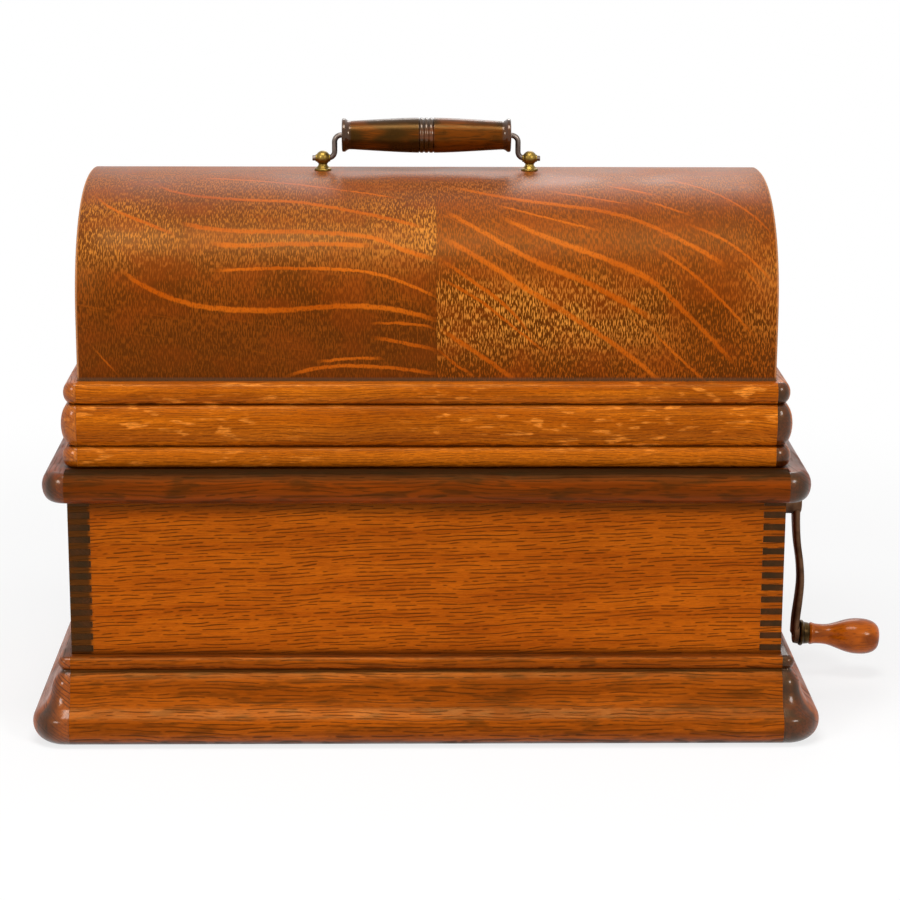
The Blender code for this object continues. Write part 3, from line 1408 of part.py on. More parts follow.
def make_rails(steel, works):
    low = LEFT_STAND_X - STAND_THICKNESS
    high = RIGHT_STAND_X + STAND_THICKNESS
    add("back_rod", rod_along_x(ROD, low, high, ROD_RADIUS, ROUND_SIDES), steel, works)
    half = FRONT_RAIL_THICKNESS / 2
    add(
        "front_rail",
        block(
            (
                LEFT_STAND_X - STAND_THICKNESS / 2,
                FRONT_RAIL_Y - half,
                FRONT_RAIL_TOP - FRONT_RAIL_HEIGHT,
            ),
            (RIGHT_STAND_X + FRONT_RAIL_OVERHANG, FRONT_RAIL_Y + half, FRONT_RAIL_TOP),
        ),
        steel,
        works,
    )


def gate_face():
    """Where the end gate's inner face is."""
    return RIGHT_STAND_X - GATE_THICKNESS / 2


def make_mandrel(iron, steel, mandrel):
    """The mandrel, and its shaft with the feed screw and the belt pulley cut on it."""
    inner_big = MANDREL_BIG_RADIUS - MANDREL_WALL
    inner_small = MANDREL_SMALL_RADIUS - MANDREL_WALL
    bore = MANDREL_SHAFT_RADIUS + SEAT_GAP
    profile = (
        (0.0, inner_big),
        (0.0, MANDREL_BIG_RADIUS),
        (MANDREL_LENGTH, MANDREL_SMALL_RADIUS),
        (MANDREL_LENGTH, bore),
        (MANDREL_LENGTH - MANDREL_WEB, bore),
        (MANDREL_LENGTH - MANDREL_WEB, inner_small),
    )
    start = (MANDREL_START, *MANDREL)
    add("mandrel", revolved(profile, start, sides=WHEEL_SIDES), iron, mandrel)
    screw_start = LEFT_STAND_X + STAND_THICKNESS
    screw_end = CENTRE_STAND_X - FEED_SCREW_END_ROOM
    tip = gate_face() + GATE_SOCKET_DEPTH
    profile = (
        (MANDREL_PULLEY_X - MANDREL_SHAFT_TAIL, MANDREL_SHAFT_RADIUS),
        (screw_start, MANDREL_SHAFT_RADIUS),
        (screw_start, FEED_SCREW_RADIUS),
        (screw_end, FEED_SCREW_RADIUS),
        (screw_end, MANDREL_SHAFT_RADIUS),
        (tip - MANDREL_SHAFT_RADIUS, MANDREL_SHAFT_RADIUS),
        (tip, MANDREL_SHAFT_RADIUS / 2),
    )
    screw = add("feed_screw", turned(profile, (0, *MANDREL), sides=SMALL_SIDES), steel, mandrel)
    place = (MANDREL_PULLEY_X, *MANDREL)
    join(screw, turned(pulley_profile(MANDREL_PULLEY_RADIUS), place, sides=WHEEL_SIDES), "pulley")


def make_gate(iron, gate):
    """The swinging gate with a socket for the mandrel shaft's end."""
    low = gate_face()
    high = low + GATE_THICKNESS
    outline = [(GATE_PIVOT_Y, MANDREL_Z - GATE_HEIGHT / 2)]
    outline.append((GATE_PIVOT_Y, MANDREL_Z + GATE_HEIGHT / 2))
    start = asin(GATE_HEIGHT / 2 / GATE_EYE_RADIUS)
    outline += arc(MANDREL, GATE_EYE_RADIUS, start, 2 * pi - start, SMALL_SIDES)
    node = add("end_gate", prism(outline, "X", low, high), iron, gate)
    place = (RIGHT_STAND_X, GATE_PIVOT_Y, MANDREL_Z)
    half = GATE_HEIGHT / 2
    profile = ((-half, GATE_PIVOT_RADIUS), (half, GATE_PIVOT_RADIUS))
    join(node, turned(profile, place, ALONG_Z, SMALL_SIDES), "hub")
    reach = half + OVERRUN
    bore = GATE_PIN_RADIUS + RUN_GAP
    pin_hole = turned(((-reach, bore), (reach, bore)), place, ALONG_Z, SMALL_SIDES)
    socket = rod_along_x(MANDREL, low - OVERRUN, high + OVERRUN, GATE_SOCKET_RADIUS)
    cut(node, together([pin_hole, socket]), "holes")


def make_carriage(brass, iron, steel, carriage, arm, weight, lift):
    start = (CARRIAGE_START, *ROD)
    end = CARRIAGE_START + CARRIAGE_LENGTH
    bore = ROD_RADIUS + RUN_GAP
    bush_radius = bore + CARRIAGE_BUSH_WALL
    profile = ((0.0, bush_radius), (CARRIAGE_LENGTH, bush_radius))
    add("carriage_bush", turned(profile, start, bore=bore), brass, carriage)
    inner = bush_radius + RUN_GAP
    outer = inner + CARRIAGE_BARREL_WALL
    profile = ((0.0, outer), (CARRIAGE_LENGTH, outer))
    node = add("carriage_arm", turned(profile, start, bore=inner), iron, arm)
    ring_z = MANDREL_Z + REPRODUCER_RISE
    thick = CARRIAGE_ARM_THICKNESS / 2
    ring_inner = REPRODUCER_RADIUS + SEAT_GAP
    ring_outer = ring_inner + RING_WALL
    barrel_top = MANDREL_Z + (inner + outer) / 2
    ring_back = MANDREL_Y + ring_outer - RING_WALL / 2
    strap = (
        (ROD_Y + thick, barrel_top),
        (ROD_Y + thick, ring_z),
        (ROD_Y, ring_z + thick),
        (ring_back, ring_z + thick),
        (ring_back, ring_z - thick),
        (ROD_Y - thick, ring_z - thick),
        (ROD_Y - thick, barrel_top),
    )
    half = CARRIAGE_ARM_WIDTH / 2
    join(node, prism(strap, "X", REPRODUCER_X - half, REPRODUCER_X + half), "strap")
    profile = ((-thick, ring_outer), (thick, ring_outer))
    place = (REPRODUCER_X, MANDREL_Y, ring_z)
    join(node, turned(profile, place, ALONG_Z, WHEEL_SIDES, bore=ring_inner), "ring")
    half = LIFT_STRAP_WIDTH / 2
    front = FRONT_RAIL_Y - LIFT_LEVER_RADIUS
    low = (REPRODUCER_X - half, front, ring_z - thick)
    high = (REPRODUCER_X + half, MANDREL_Y - ring_inner - RING_WALL / 2, ring_z + thick)
    join(node, block(low, high), "lift_strap")
    lever_low = REPRODUCER_X + half + SEAT_GAP
    lever_high = lever_low + LIFT_LEVER_WIDTH
    pin = (FRONT_RAIL_Y, ring_z)
    pin_end = lever_high + END_GAP
    join(node, rod_along_x(pin, REPRODUCER_X, pin_end, LIFT_LEVER_PIN_RADIUS, PIN_SIDES), "pin")
    nut_low = FEED_SCREW_RADIUS + NUT_CLEARANCE + MANDREL_Z
    nut = (
        (ROD_Y - CARRIAGE_BARREL_WALL * 2, nut_low + NUT_ARM_THICKNESS),
        (MANDREL_Y - NUT_PAD_LENGTH / 2, nut_low + NUT_ARM_THICKNESS),
        (MANDREL_Y - NUT_PAD_LENGTH / 2, nut_low),
        (MANDREL_Y + NUT_PAD_LENGTH / 2, nut_low),
        (MANDREL_Y + NUT_PAD_LENGTH / 2, nut_low + NUT_ARM_THICKNESS / 3),
        (ROD_Y - CARRIAGE_BARREL_WALL * 2, nut_low + NUT_ARM_THICKNESS / 3),
    )
    nut_end = CARRIAGE_START + NUT_ARM_WIDTH
    join(node, prism(nut, "X", CARRIAGE_START, nut_end), "nut_arm")
    make_reproducer(brass, steel, arm, weight, ring_z)
    make_lift_lever(steel, lift, pin, lever_low, lever_high)


def make_reproducer(brass, steel, arm, weight, ring_z):
    """The sound box in the carriage's ring, and the stylus weight hinged under it."""
    bottom = ring_z - REPRODUCER_HEIGHT / 2
    top = ring_z + REPRODUCER_HEIGHT / 2
    narrow = REPRODUCER_RADIUS - REPRODUCER_EDGE
    profile = (
        (bottom, narrow),
        (bottom + REPRODUCER_EDGE, REPRODUCER_RADIUS),
        (top - REPRODUCER_EDGE, REPRODUCER_RADIUS),
        (top, narrow),
        (top, REPRODUCER_NECK_RADIUS),
        (top + REPRODUCER_NECK_HEIGHT, REPRODUCER_NECK_RADIUS),
    )
    place = (REPRODUCER_X, MANDREL_Y, 0)
    body = add("reproducer", turned(profile, place, ALONG_Z, WHEEL_SIDES), brass, arm)
    hinge_z = bottom - WEIGHT_DROP - WEIGHT_THICKNESS / 2
    inner = WEIGHT_WIDTH / 2 + SEAT_GAP
    outer = inner + EAR_THICKNESS
    ears = []
    for side in (-1, 1):
        faces = sorted((REPRODUCER_X + side * inner, REPRODUCER_X + side * outer))
        low = (faces[0], WEIGHT_HINGE_Y - EAR_WIDTH / 2, hinge_z - EAR_WIDTH / 2)
        high = (faces[1], WEIGHT_HINGE_Y + EAR_WIDTH / 2, bottom + REPRODUCER_EDGE / 2)
        ears.append(block(low, high))
    join(body, together(ears), "ears")
    hinge = (WEIGHT_HINGE_Y, hinge_z)
    bore = WEIGHT_PIN_RADIUS + RUN_GAP
    holes = [
        rod_along_x(
            hinge,
            REPRODUCER_X + side * (inner + outer) / 2 - EAR_THICKNESS,
            REPRODUCER_X + side * (inner + outer) / 2 + EAR_THICKNESS,
            bore,
            PIN_SIDES,
        )
        for side in (-1, 1)
    ]
    cut(body, together(holes), "pin_holes")
    half = WEIGHT_WIDTH / 2
    thick = WEIGHT_THICKNESS / 2
    back = WEIGHT_HINGE_Y + EAR_WIDTH / 2
    low = (REPRODUCER_X - half, back - WEIGHT_LENGTH, hinge_z - thick)
    node = add(
        "reproducer_weight",
        block(low, (REPRODUCER_X + half, back, hinge_z + thick)),
        steel,
        weight,
    )
    reach = outer - SEAT_GAP
    pin = rod_along_x(hinge, REPRODUCER_X - reach, REPRODUCER_X + reach, WEIGHT_PIN_RADIUS, PIN_SIDES)
    join(node, pin, "pin")
    profile = ((-thick - STYLUS_LENGTH, STYLUS_RADIUS / 2), (0.0, STYLUS_RADIUS))
    place = (REPRODUCER_X, MANDREL_Y, hinge_z)
    join(node, turned(profile, place, ALONG_Z, PIN_SIDES), "stylus")


def make_lift_lever(steel, lift, pin, low, high):
    """The cam lever whose foot stands on the front rail and holds the carriage up."""
    foot = FRONT_RAIL_TOP + SEAT_GAP
    half = FRONT_RAIL_THICKNESS / 2
    outline = [(pin[0] - half, foot), (pin[0] + half, foot)]
    outline += arc(pin, LIFT_LEVER_RADIUS, 0, pi / 2, SMALL_SIDES // 2)
    handle = pin[0] - LIFT_LEVER_RADIUS - LIFT_LEVER_HANDLE
    outline.append((handle, pin[1] + half))
    outline.append((handle, pin[1] - half))
    outline.append((pin[0] - half, pin[1] - LIFT_LEVER_RADIUS))
    node = add("lift_lever", prism(outline, "X", low, high), steel, lift)
    bore = LIFT_LEVER_PIN_RADIUS + RUN_GAP
    cut(node, rod_along_x(pin, low - OVERRUN, high + OVERRUN, bore, PIN_SIDES))


def build():
    clear_scene()
    oak = finish("golden_oak", (0.46, 0.19, 0.05), 0.4)
    grip_wood = finish("walnut_grip", (0.16, 0.06, 0.03), 0.3)
    knob_wood = finish("varnished_knob", (0.5, 0.17, 0.04), 0.25)
    brass = finish("aged_brass", (0.42, 0.3, 0.12), 0.4, 1.0)
    steel = finish("bright_steel", (0.5, 0.5, 0.5), 0.35, 1.0)
    iron = finish("black_iron", (0.03, 0.03, 0.03), 0.45, 0.6)
    bronze = finish("bronzed_iron", (0.16, 0.1, 0.06), 0.4, 0.9)
    leather = finish("belt_leather", (0.14, 0.07, 0.04), 0.7)

    works = pivot("works_tilt", (0, HINGE_Y, HINGE_Z))
    lid = pivot("lid_lift", (0, 0, LID_BOTTOM), works)
    handle = pivot("handle_swing", (0, 0, PIVOT_Z), lid)
    grip = pivot("grip_turn", (0, 0, PIVOT_Z + BAIL_RISE), handle)
    crank = pivot("crank_turn", (CASE_HALF, *WINDER))
    knob = pivot("knob_spin", knob_centre(), crank)
    winder = pivot("winder_turn", (WINDER_START, *WINDER), works)
    arbor = pivot("arbor_turn", (0, *BARREL), works)
    pawl = pivot("pawl_swing", (FRAME_OUTER, *PAWL), works)
    barrel = pivot("barrel_turn", (0, *BARREL), works)
    second = pivot("second_turn", (0, *SECOND), works)
    drive = pivot("drive_turn", (0, *DRIVE), works)
    governor = pivot("governor_turn", (0, *GOVERNOR), works)
    screw = (-FRAME_OUTER, GOVERNOR[0], GOVERNOR[1] - SPEED_SCREW_OFFSET)
    speed_screw = pivot("speed_screw_turn", screw, works)
    lever = (START_LEVER_X, START_LEVER_Y, BEDPLATE_TOP)
    start_lever = pivot("start_lever_turn", lever, works)
    mandrel = pivot("mandrel_turn", (0, *MANDREL), works)
    gate = pivot("gate_swing", (RIGHT_STAND_X, GATE_PIVOT_Y, MANDREL_Z), works)
    carriage = pivot("carriage_slide", (CARRIAGE_START, *ROD), works)
    arm = pivot("carriage_lift", (CARRIAGE_START, *ROD), carriage)
    ring_z = MANDREL_Z + REPRODUCER_RISE
    hinge_z = ring_z - REPRODUCER_HEIGHT / 2 - WEIGHT_DROP - WEIGHT_THICKNESS / 2
    weight = pivot("weight_swing", (REPRODUCER_X, WEIGHT_HINGE_Y, hinge_z), arm)
    lift = pivot("lift_lever_turn", (REPRODUCER_X, FRONT_RAIL_Y, ring_z), arm)

    make_case(oak, brass, iron)
    make_works_board(oak, iron, works)
    make_lid(oak, lid)
    make_handle(grip_wood, brass, steel, lid, handle, grip)
    make_crank(bronze, brass, knob_wood, crank, knob)
    make_motor_frames(iron, works)
    make_winding_shaft(steel, winder)
    make_arbor(steel, arbor)
    make_pawl(steel, pawl)
    make_barrel(brass, steel, barrel)
    make_second_shaft(steel, second)
    make_drive_shaft(steel, drive)
    make_governor(steel, brass, iron, governor)
    make_speed_screw(steel, speed_screw)
    make_start_lever(steel, start_lever)
    make_bedplate(iron, works)
    make_rails(steel, works)
    make_belt(leather, works)
    make_mandrel(iron, steel, mandrel)
    make_gate(iron, gate)
    make_carriage(brass, iron, steel, carriage, arm, weight, lift)


build()
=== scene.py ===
"""The looks of the cylinder phonograph in its closed oak case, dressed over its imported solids."""

from math import asin, copysign, cos, pi, radians, sin

import bmesh
import bpy
from mathutils import Matrix, Vector


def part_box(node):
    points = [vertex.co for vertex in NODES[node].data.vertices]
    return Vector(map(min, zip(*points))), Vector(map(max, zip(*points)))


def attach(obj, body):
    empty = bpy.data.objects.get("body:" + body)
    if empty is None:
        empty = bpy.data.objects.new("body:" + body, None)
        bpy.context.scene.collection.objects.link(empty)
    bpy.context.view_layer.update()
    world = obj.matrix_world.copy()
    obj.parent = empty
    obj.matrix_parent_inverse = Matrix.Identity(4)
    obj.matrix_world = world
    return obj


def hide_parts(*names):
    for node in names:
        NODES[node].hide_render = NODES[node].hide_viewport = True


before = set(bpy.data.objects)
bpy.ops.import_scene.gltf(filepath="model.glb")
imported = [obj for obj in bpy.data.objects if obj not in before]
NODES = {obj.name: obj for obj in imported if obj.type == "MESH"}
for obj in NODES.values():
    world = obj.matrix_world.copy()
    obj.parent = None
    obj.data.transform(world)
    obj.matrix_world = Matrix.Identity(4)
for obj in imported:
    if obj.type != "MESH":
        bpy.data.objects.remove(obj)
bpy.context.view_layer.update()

MM = 0.001
WHITE = (1.0, 1.0, 1.0, 1.0)
PLINTH_TOP = 50 * MM
JOINT_DEPTH = 12 * MM
CASE_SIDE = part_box("case_right")[1].x
CASE_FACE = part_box("case_back")[1].y
RIM_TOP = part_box("rim_front")[1].z
LID_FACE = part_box("lid_moulding_back")[1].y


# Shader values and materials


def tone(written):
    """A colour written as it looks, from 0 to 255 a channel, in the scale that shaders use."""
    plain = []
    for channel in written:
        share = channel / 255
        plain.append(share / 12.92 if share <= 0.04045 else ((share + 0.055) / 1.055) ** 2.4)
    return (*plain, 1.0)


class Amount:
    """A number that varies over a surface: a socket that takes part in sums."""

    def __init__(self, nodes, socket):
        self.nodes = nodes
        self.socket = socket

    def maths(self, operation, *others):
        return self.nodes.maths(operation, self, *others)

    def __add__(self, other):
        return self.maths("ADD", other)

    def __sub__(self, other):
        return self.maths("SUBTRACT", other)

    def __mul__(self, other):
        return self.maths("MULTIPLY", other)

    def __truediv__(self, other):
        return self.maths("DIVIDE", other)

    def __rsub__(self, other):
        return self.nodes.maths("SUBTRACT", other, self)

    __radd__ = __add__

    def size(self):
        return self.maths("ABSOLUTE")

    def above(self, limit):
        return self.maths("GREATER_THAN", limit)

    def most(self, other):
        return self.maths("MAXIMUM", other)

    def ramp(self, start, end, low=0.0, high=1.0):
        """low before start, high past end and a smooth rise between them."""
        settings = {"interpolation_type": "SMOOTHSTEP"}
        inputs = {"Value": self, "From Min": start, "From Max": end, "To Min": low, "To Max": high}
        made = self.nodes.node("ShaderNodeMapRange", settings, inputs)
        return Amount(self.nodes, made.outputs[0])

    def fade(self, start, end):
        """1 before start, 0 past end."""
        return self.ramp(start, end, 1.0, 0.0)

    def near(self, middle, close, far):
        """1 when closer to a middle value than this, 0 when farther from it than that."""
        return (self - middle).size().fade(close, far)


class Nodes:
    """A tree of nodes, while it is being made."""

    def __init__(self, tree):
        self.tree = tree

    def node(self, kind, settings=None, inputs=None):
        """A node of this type, with its settings made first and then its sockets."""
        made = self.tree.nodes.new(kind)
        for name, value in (settings or {}).items():
            setattr(made, name, value)
        for name, value in (inputs or {}).items():
            self.join(made.inputs[name], value)
        return made

    def join(self, socket, value):
        """Links a socket to what feeds it, or gives it a value of its own."""
        if isinstance(value, Amount):
            value = value.socket
        if isinstance(value, bpy.types.NodeSocket):
            self.tree.links.new(value, socket)
        else:
            socket.default_value = value

    def maths(self, operation, *values):
        made = self.node("ShaderNodeMath", {"operation": operation}, dict(enumerate(values)))
        return Amount(self, made.outputs[0])

    def looked_at(self):
        """1 for what the camera sees, also in a gloss or through glass, and 0 for other light."""
        path = self.node("ShaderNodeLightPath").outputs
        seen = Amount(self, path["Is Camera Ray"]).most(Amount(self, path["Is Glossy Ray"]))
        return seen.most(Amount(self, path["Is Transmission Ray"]))


class Finish(Nodes):
    """One procedural material, while it is being made."""

    def __init__(self, name, specular, metallic=0.0, tint=WHITE):
        self.material = bpy.data.materials.new(name)
        self.material.use_nodes = True
        super().__init__(self.material.node_tree)
        self.shader = self.tree.nodes["Principled BSDF"]
        self.set("Metallic", metallic)
        self.set("Specular IOR Level", specular)
        self.set("Specular Tint", tint)
        self.place = self.node("ShaderNodeTexCoord").outputs["Object"]
        self.x, self.y, self.z = self.parts(self.place)

    def set(self, name, value):
        self.join(self.shader.inputs[name], value)

    def coat(self, weight, rough):
        """A clear varnish over the rest."""
        self.set("Coat Weight", weight)
        self.set("Coat Roughness", rough)

    def parts(self, vector):
        split = self.node("ShaderNodeSeparateXYZ", None, {0: vector})
        return [Amount(self, socket) for socket in split.outputs]

    def scaled(self, scale):
        """The place in the piece, with each axis stretched by its part of the scale."""
        settings = {"operation": "MULTIPLY"}
        return self.node("ShaderNodeVectorMath", settings, {0: self.place, 1: scale}).outputs[0]

    def noise(self, place, detail):
        """Noise whose lumps are about one unit of the place across."""
        inputs = {"Vector": place, "Scale": 1.0, "Detail": detail}
        return Amount(self, self.node("ShaderNodeTexNoise", None, inputs).outputs[0])

    def noise_at(self, x, y, z, detail=1.0):
        place = self.node("ShaderNodeCombineXYZ", None, {"X": x, "Y": y, "Z": z}).outputs[0]
        return self.noise(place, detail)

    def lumps(self, scale, detail=2.0):
        """Noise with about this many lumps to a metre along each axis."""
        return self.noise(self.scaled(scale), detail)

    def cells(self, scale):
        """The distance to the middle of the nearest of some scattered cells."""
        inputs = {"Vector": self.scaled(scale), "Scale": 1.0}
        made = self.node("ShaderNodeTexVoronoi", None, inputs)
        return Amount(self, made.outputs["Distance"])

    def mix(self, share, *colours):
        """Some share of the second colour in the first, each of them a link or a written tone."""
        first, second = (tone(one) if isinstance(one, tuple) else one for one in colours)
        settings = {"data_type": "RGBA"}
        return self.node("ShaderNodeMix", settings, {0: share, 6: first, 7: second}).outputs[2]

    def lay(self, share, over):
        """Lays another colour over the colour so far."""
        self.colour = self.mix(share, self.colour, over)

    def done(self, rough, height, depth, strength=0.5):
        """The material, with its colour, its roughness and a fine relief of this depth."""
        inputs = {"Height": height, "Distance": depth, "Strength": strength}
        self.set("Base Color", self.colour)
        self.set("Roughness", rough)
        self.set("Normal", self.node("ShaderNodeBump", None, inputs).outputs[0])
        return self.material

    def curve(self, value, points, low, high):
        """A smooth curve through points: 0 to 1 across, and from low to high up."""
        made = self.node("ShaderNodeFloatCurve", None, {"Factor": 1.0, "Value": value})
        line = made.mapping.curves[0]
        span = high - low
        for index, (across, up) in enumerate(points):
            spot = (across, (up - low) / span)
            if index < len(line.points):
                line.points[index].location = spot
            else:
                line.points.new(*spot)
        made.mapping.update()
        return Amount(self, made.outputs[0]) * span + low

    def normal(self):
        """The three parts of the direction that the surface faces, in the piece."""
        return self.parts(self.node("ShaderNodeTexCoord").outputs["Normal"])

    def hollow(self, reach):
        """1 deep in a groove or corner, 0 out in the open, as far as this reach goes."""
        inputs = {"Distance": reach}
        made = self.node("ShaderNodeAmbientOcclusion", {"samples": 6}, inputs)
        return 1 - Amount(self, made.outputs["AO"])


SWAY_LENGTH = 70 * MM
SWAY_WIDTH = 45 * MM


class Grain:
    """Where a point lies in a board whose grain runs along X or Y, with its slow sway."""

    def __init__(self, finish, along, lean=0.0, sway=2.5 * MM, start=0.0):
        run, first = (finish.x, finish.y) if along == "X" else (finish.y, finish.x)
        run = run + start
        second = finish.z
        slow = finish.noise_at(run / SWAY_LENGTH, first / SWAY_WIDTH, second / SWAY_WIDTH)
        shift = (slow - 0.5) * (2 * sway) + run * lean
        self.finish = finish
        self.run, self.first, self.second = run, first + shift, second + shift

    def noise(self, length, width, detail=2.0):
        """Noise drawn out along the grain, in lumps of this length and width."""
        run, first, second = self.run / length, self.first / width, self.second / width
        return self.finish.noise_at(run, first, second, detail)

    def pores(self, pitch, length, width):
        """Broken, wandering rows of open pores: 1 in a pore."""
        finish = self.finish
        across = self.second + self.first * 0.73
        wander = finish.noise_at(self.run / (24 * MM), across / (8 * MM), pitch * 900)
        rows = (across + (wander - 0.5) * (1.1 * pitch)) / pitch
        row = rows.maths("FLOOR")
        breaks = finish.noise_at(self.run / length, row * 5.3, 0.0, 2.0)
        shift = finish.noise_at(self.run / (3 * length), row * 7.9, 4.0) - 0.5
        apart = (rows - row - 0.5 + shift * 1.1).size()
        thin = width / pitch
        return apart.fade(0.2 * thin, 0.85 * thin) * breaks.ramp(0.43, 0.52)


# Oak


AMBER = (1.0, 0.5, 0.12, 1.0)
END_TONES = ((80, 31, 1), (38, 13, 0))
FINGER_TONES = ((56, 24, 5), (26, 11, 3))
GROOVE_Z = 42.3 * MM


def end_grain(finish, along, tones, blend):
    """Lays on polished brown end grain, with darker pores, where a board is cut across."""
    squarely = finish.normal()
    across = squarely["XYZ".index(along)]
    plan = squarely[0] * squarely[0] + squarely[1] * squarely[1]
    ends = (across * across / (plan + 0.03)).ramp(0.16, 0.4)
    speck = finish.lumps((700, 700, 700)).ramp(0.42, 0.66)
    patch = finish.lumps((110, 110, 60)).ramp(0.35, 0.65)
    cut = finish.mix(patch, *tones)
    cut = finish.mix(speck * 0.6, cut, (26, 9, 0))
    shown = ends
    if blend:
        worn = finish.x.ramp(-CASE_SIDE - blend, -CASE_SIDE - 2 * MM, 0.0, 0.85)
        shown = ends * (1 - worn * (1 - finish.x.above(0.0)))
    finish.lay(shown, cut)
    return ends


def oak(
    name,
    along,
    tones,
    pores=0.8,
    fine_pores=0.4,
    flecks=0.0,
    corner=None,
    foot=0.0,
    painted_lid_shadow=0.0,
    painted_shade_bands=0.0,
    groove=0.0,
    painted_foot_light=0.0,
    end_tones=END_TONES,
    blend=0.0,
    polish=0.45,
    pore_size=1.0,
    reach=8 * MM,
    **grain_words,
):
    """Quarter-sawn golden oak under old shellac: bands, lines, rows of pores and pale flecks."""
    dark, middle, light = tones
    finish = Finish(name, 0.35, tint=AMBER)
    grain = Grain(finish, along, **grain_words)
    bands = grain.noise(130 * MM, 7 * MM)
    lines = grain.noise(40 * MM, 1.2 * MM)
    patches = finish.lumps((14, 22, 22))
    finish.colour = finish.mix(bands.ramp(0.36, 0.62), middle, light)
    finish.lay(lines.ramp(0.46, 0.66) * 0.42, dark)
    finish.lay(patches.ramp(0.5, 0.72) * 0.3, dark)
    # Painted light: the lowest reed made lighter towards the lid's foot, as if lit from below
    if painted_foot_light:
        lit_from_below = finish.z.fade(RIM_TOP + 3 * MM, RIM_TOP + 14 * MM)
        finish.lay(lit_from_below * painted_foot_light, light)
    if flecks:
        group = grain.noise(60 * MM, 24 * MM, 1.0).ramp(0.42, 0.56)
        silk = grain.noise(12 * MM, 3.6 * MM, 1.0) + grain.noise(4 * MM, 0.8 * MM, 1.0) * 0.14
        silk = silk.ramp(0.62, 0.76) * group
        finish.lay(silk * flecks, finish.mix(0.6, light, (242, 144, 50)))
    pore = pore_size * MM
    coarse = grain.pores(2.6 * pore, 15 * pore, 0.66 * pore)
    fine = grain.pores(1.15 * pore, 6 * pore, 0.4 * pore)
    finish.lay(fine * fine_pores, (104, 38, 0))
    finish.lay(coarse * pores, (62, 20, 0))
    if foot:
        stain = grain.noise(20 * MM, 4 * MM).ramp(0.5, 0.66)
        finish.lay(stain * foot, (40, 15, 1))
    if corner:
        joint = CASE_SIDE - JOINT_DEPTH
        fingers = finish.x.size().ramp(joint - 1.5 * MM, joint + 1.5 * MM)
        share = finish.x.above(0.0) * (corner[1] - corner[0]) + corner[0]
        finish.lay(fingers * share, (44, 22, 7))
    ends = end_grain(finish, along, end_tones, blend)
    # Painted shade: a dark line in the plinth's groove, and painted shade with some dirt along its
    # top where the case stands on it
    if groove:
        groove_shade = finish.z.near(GROOVE_Z, 0.7 * MM, 2 * MM)
        groove_shade = groove_shade.most(finish.z.ramp(PLINTH_TOP - 0.4 * MM, PLINTH_TOP + 0.4 * MM) * 0.7)
        finish.lay(groove_shade * groove, (36, 16, 3))
    dull = coarse * 0.12
    # Painted shadow: a near-black band on the rim's top next to the lid's foot, where the lid shades
    # it; it is also made rougher there
    if painted_lid_shadow:
        away = finish.y.size()
        close = away.fade(CASE_FACE + 9 * MM, CASE_FACE + 16 * MM)
        close = close * away.ramp(LID_FACE - 3.5 * MM, LID_FACE - 1 * MM)
        topmost = finish.z.ramp(RIM_TOP - 8 * MM, RIM_TOP - 2 * MM)
        finish.lay(close * topmost * painted_lid_shadow, (10, 5, 2))
        dull = dull + close * topmost * 0.4
    # Painted shade: the case made darker just under the rim's overhang and just above the plinth,
    # where less light falls
    if painted_shade_bands:
        shaded_bands = finish.z.ramp(RIM_TOP - 31 * MM, RIM_TOP - 21 * MM)
        shaded_bands = shaded_bands.most(finish.z.fade(PLINTH_TOP + 1 * MM, PLINTH_TOP + 4 * MM))
        finish.lay(shaded_bands * painted_shade_bands, (58, 22, 3))
    # Dirt and painted shade: darker deep in grooves and corners, where less light reaches
    dirt_and_shade = finish.hollow(reach).ramp(0.3, 0.75)
    finish.lay(dirt_and_shade * 0.85, (36, 16, 4))
    wear = finish.lumps((60, 60, 60), 3.0)
    finish.coat(ends * polish, 0.15)
    rough = wear.ramp(0.3, 0.7, 0.3, 0.44) + dull
    return finish.done(rough, grain.noise(20 * MM, 1.2 * MM) * 0.5 - coarse, 0.12 * MM)


# Lid veneer

# Streaks as (width, (across, height up the arch), ...) in millimetres
LEFT_RAYS = (
    (2.6, (-171, 52), (-158, 44), (-140, 37), (-119, 33), (-90, 32), (-33, 34), (4, 27)),
    (1.6, (-119, 53), (-62, 54), (-33, 52), (-18, 48), (5, 39)),
    (2.6, (-122, 68), (-105, 67), (-76, 68), (-33, 67)),
    (2.6, (-139, 81), (-120, 77), (-62, 75), (-33, 72), (-12, 64), (4, 59)),
    (2.2, (-190, 105), (-179, 92), (-159, 81), (-144, 74)),
    (2.4, (-156, 118), (-136, 106), (-106, 101), (-77, 99), (-48, 92), (-4, 79)),
    (1.6, (-129, 132), (-93, 125), (-48, 112), (-18, 103)),
    (2.0, (-30, 17), (-4, 12), (4, 10)),
    (1.6, (-62, 3), (-40, 5), (-26, 5)),
    (2.0, (-78, -5), (-55, 0), (-30, 0), (4, -4)),
    (1.4, (-31, 25), (-4, 24), (4, 22)),
    (1.4, (-188, 10), (-176, -4)),
)
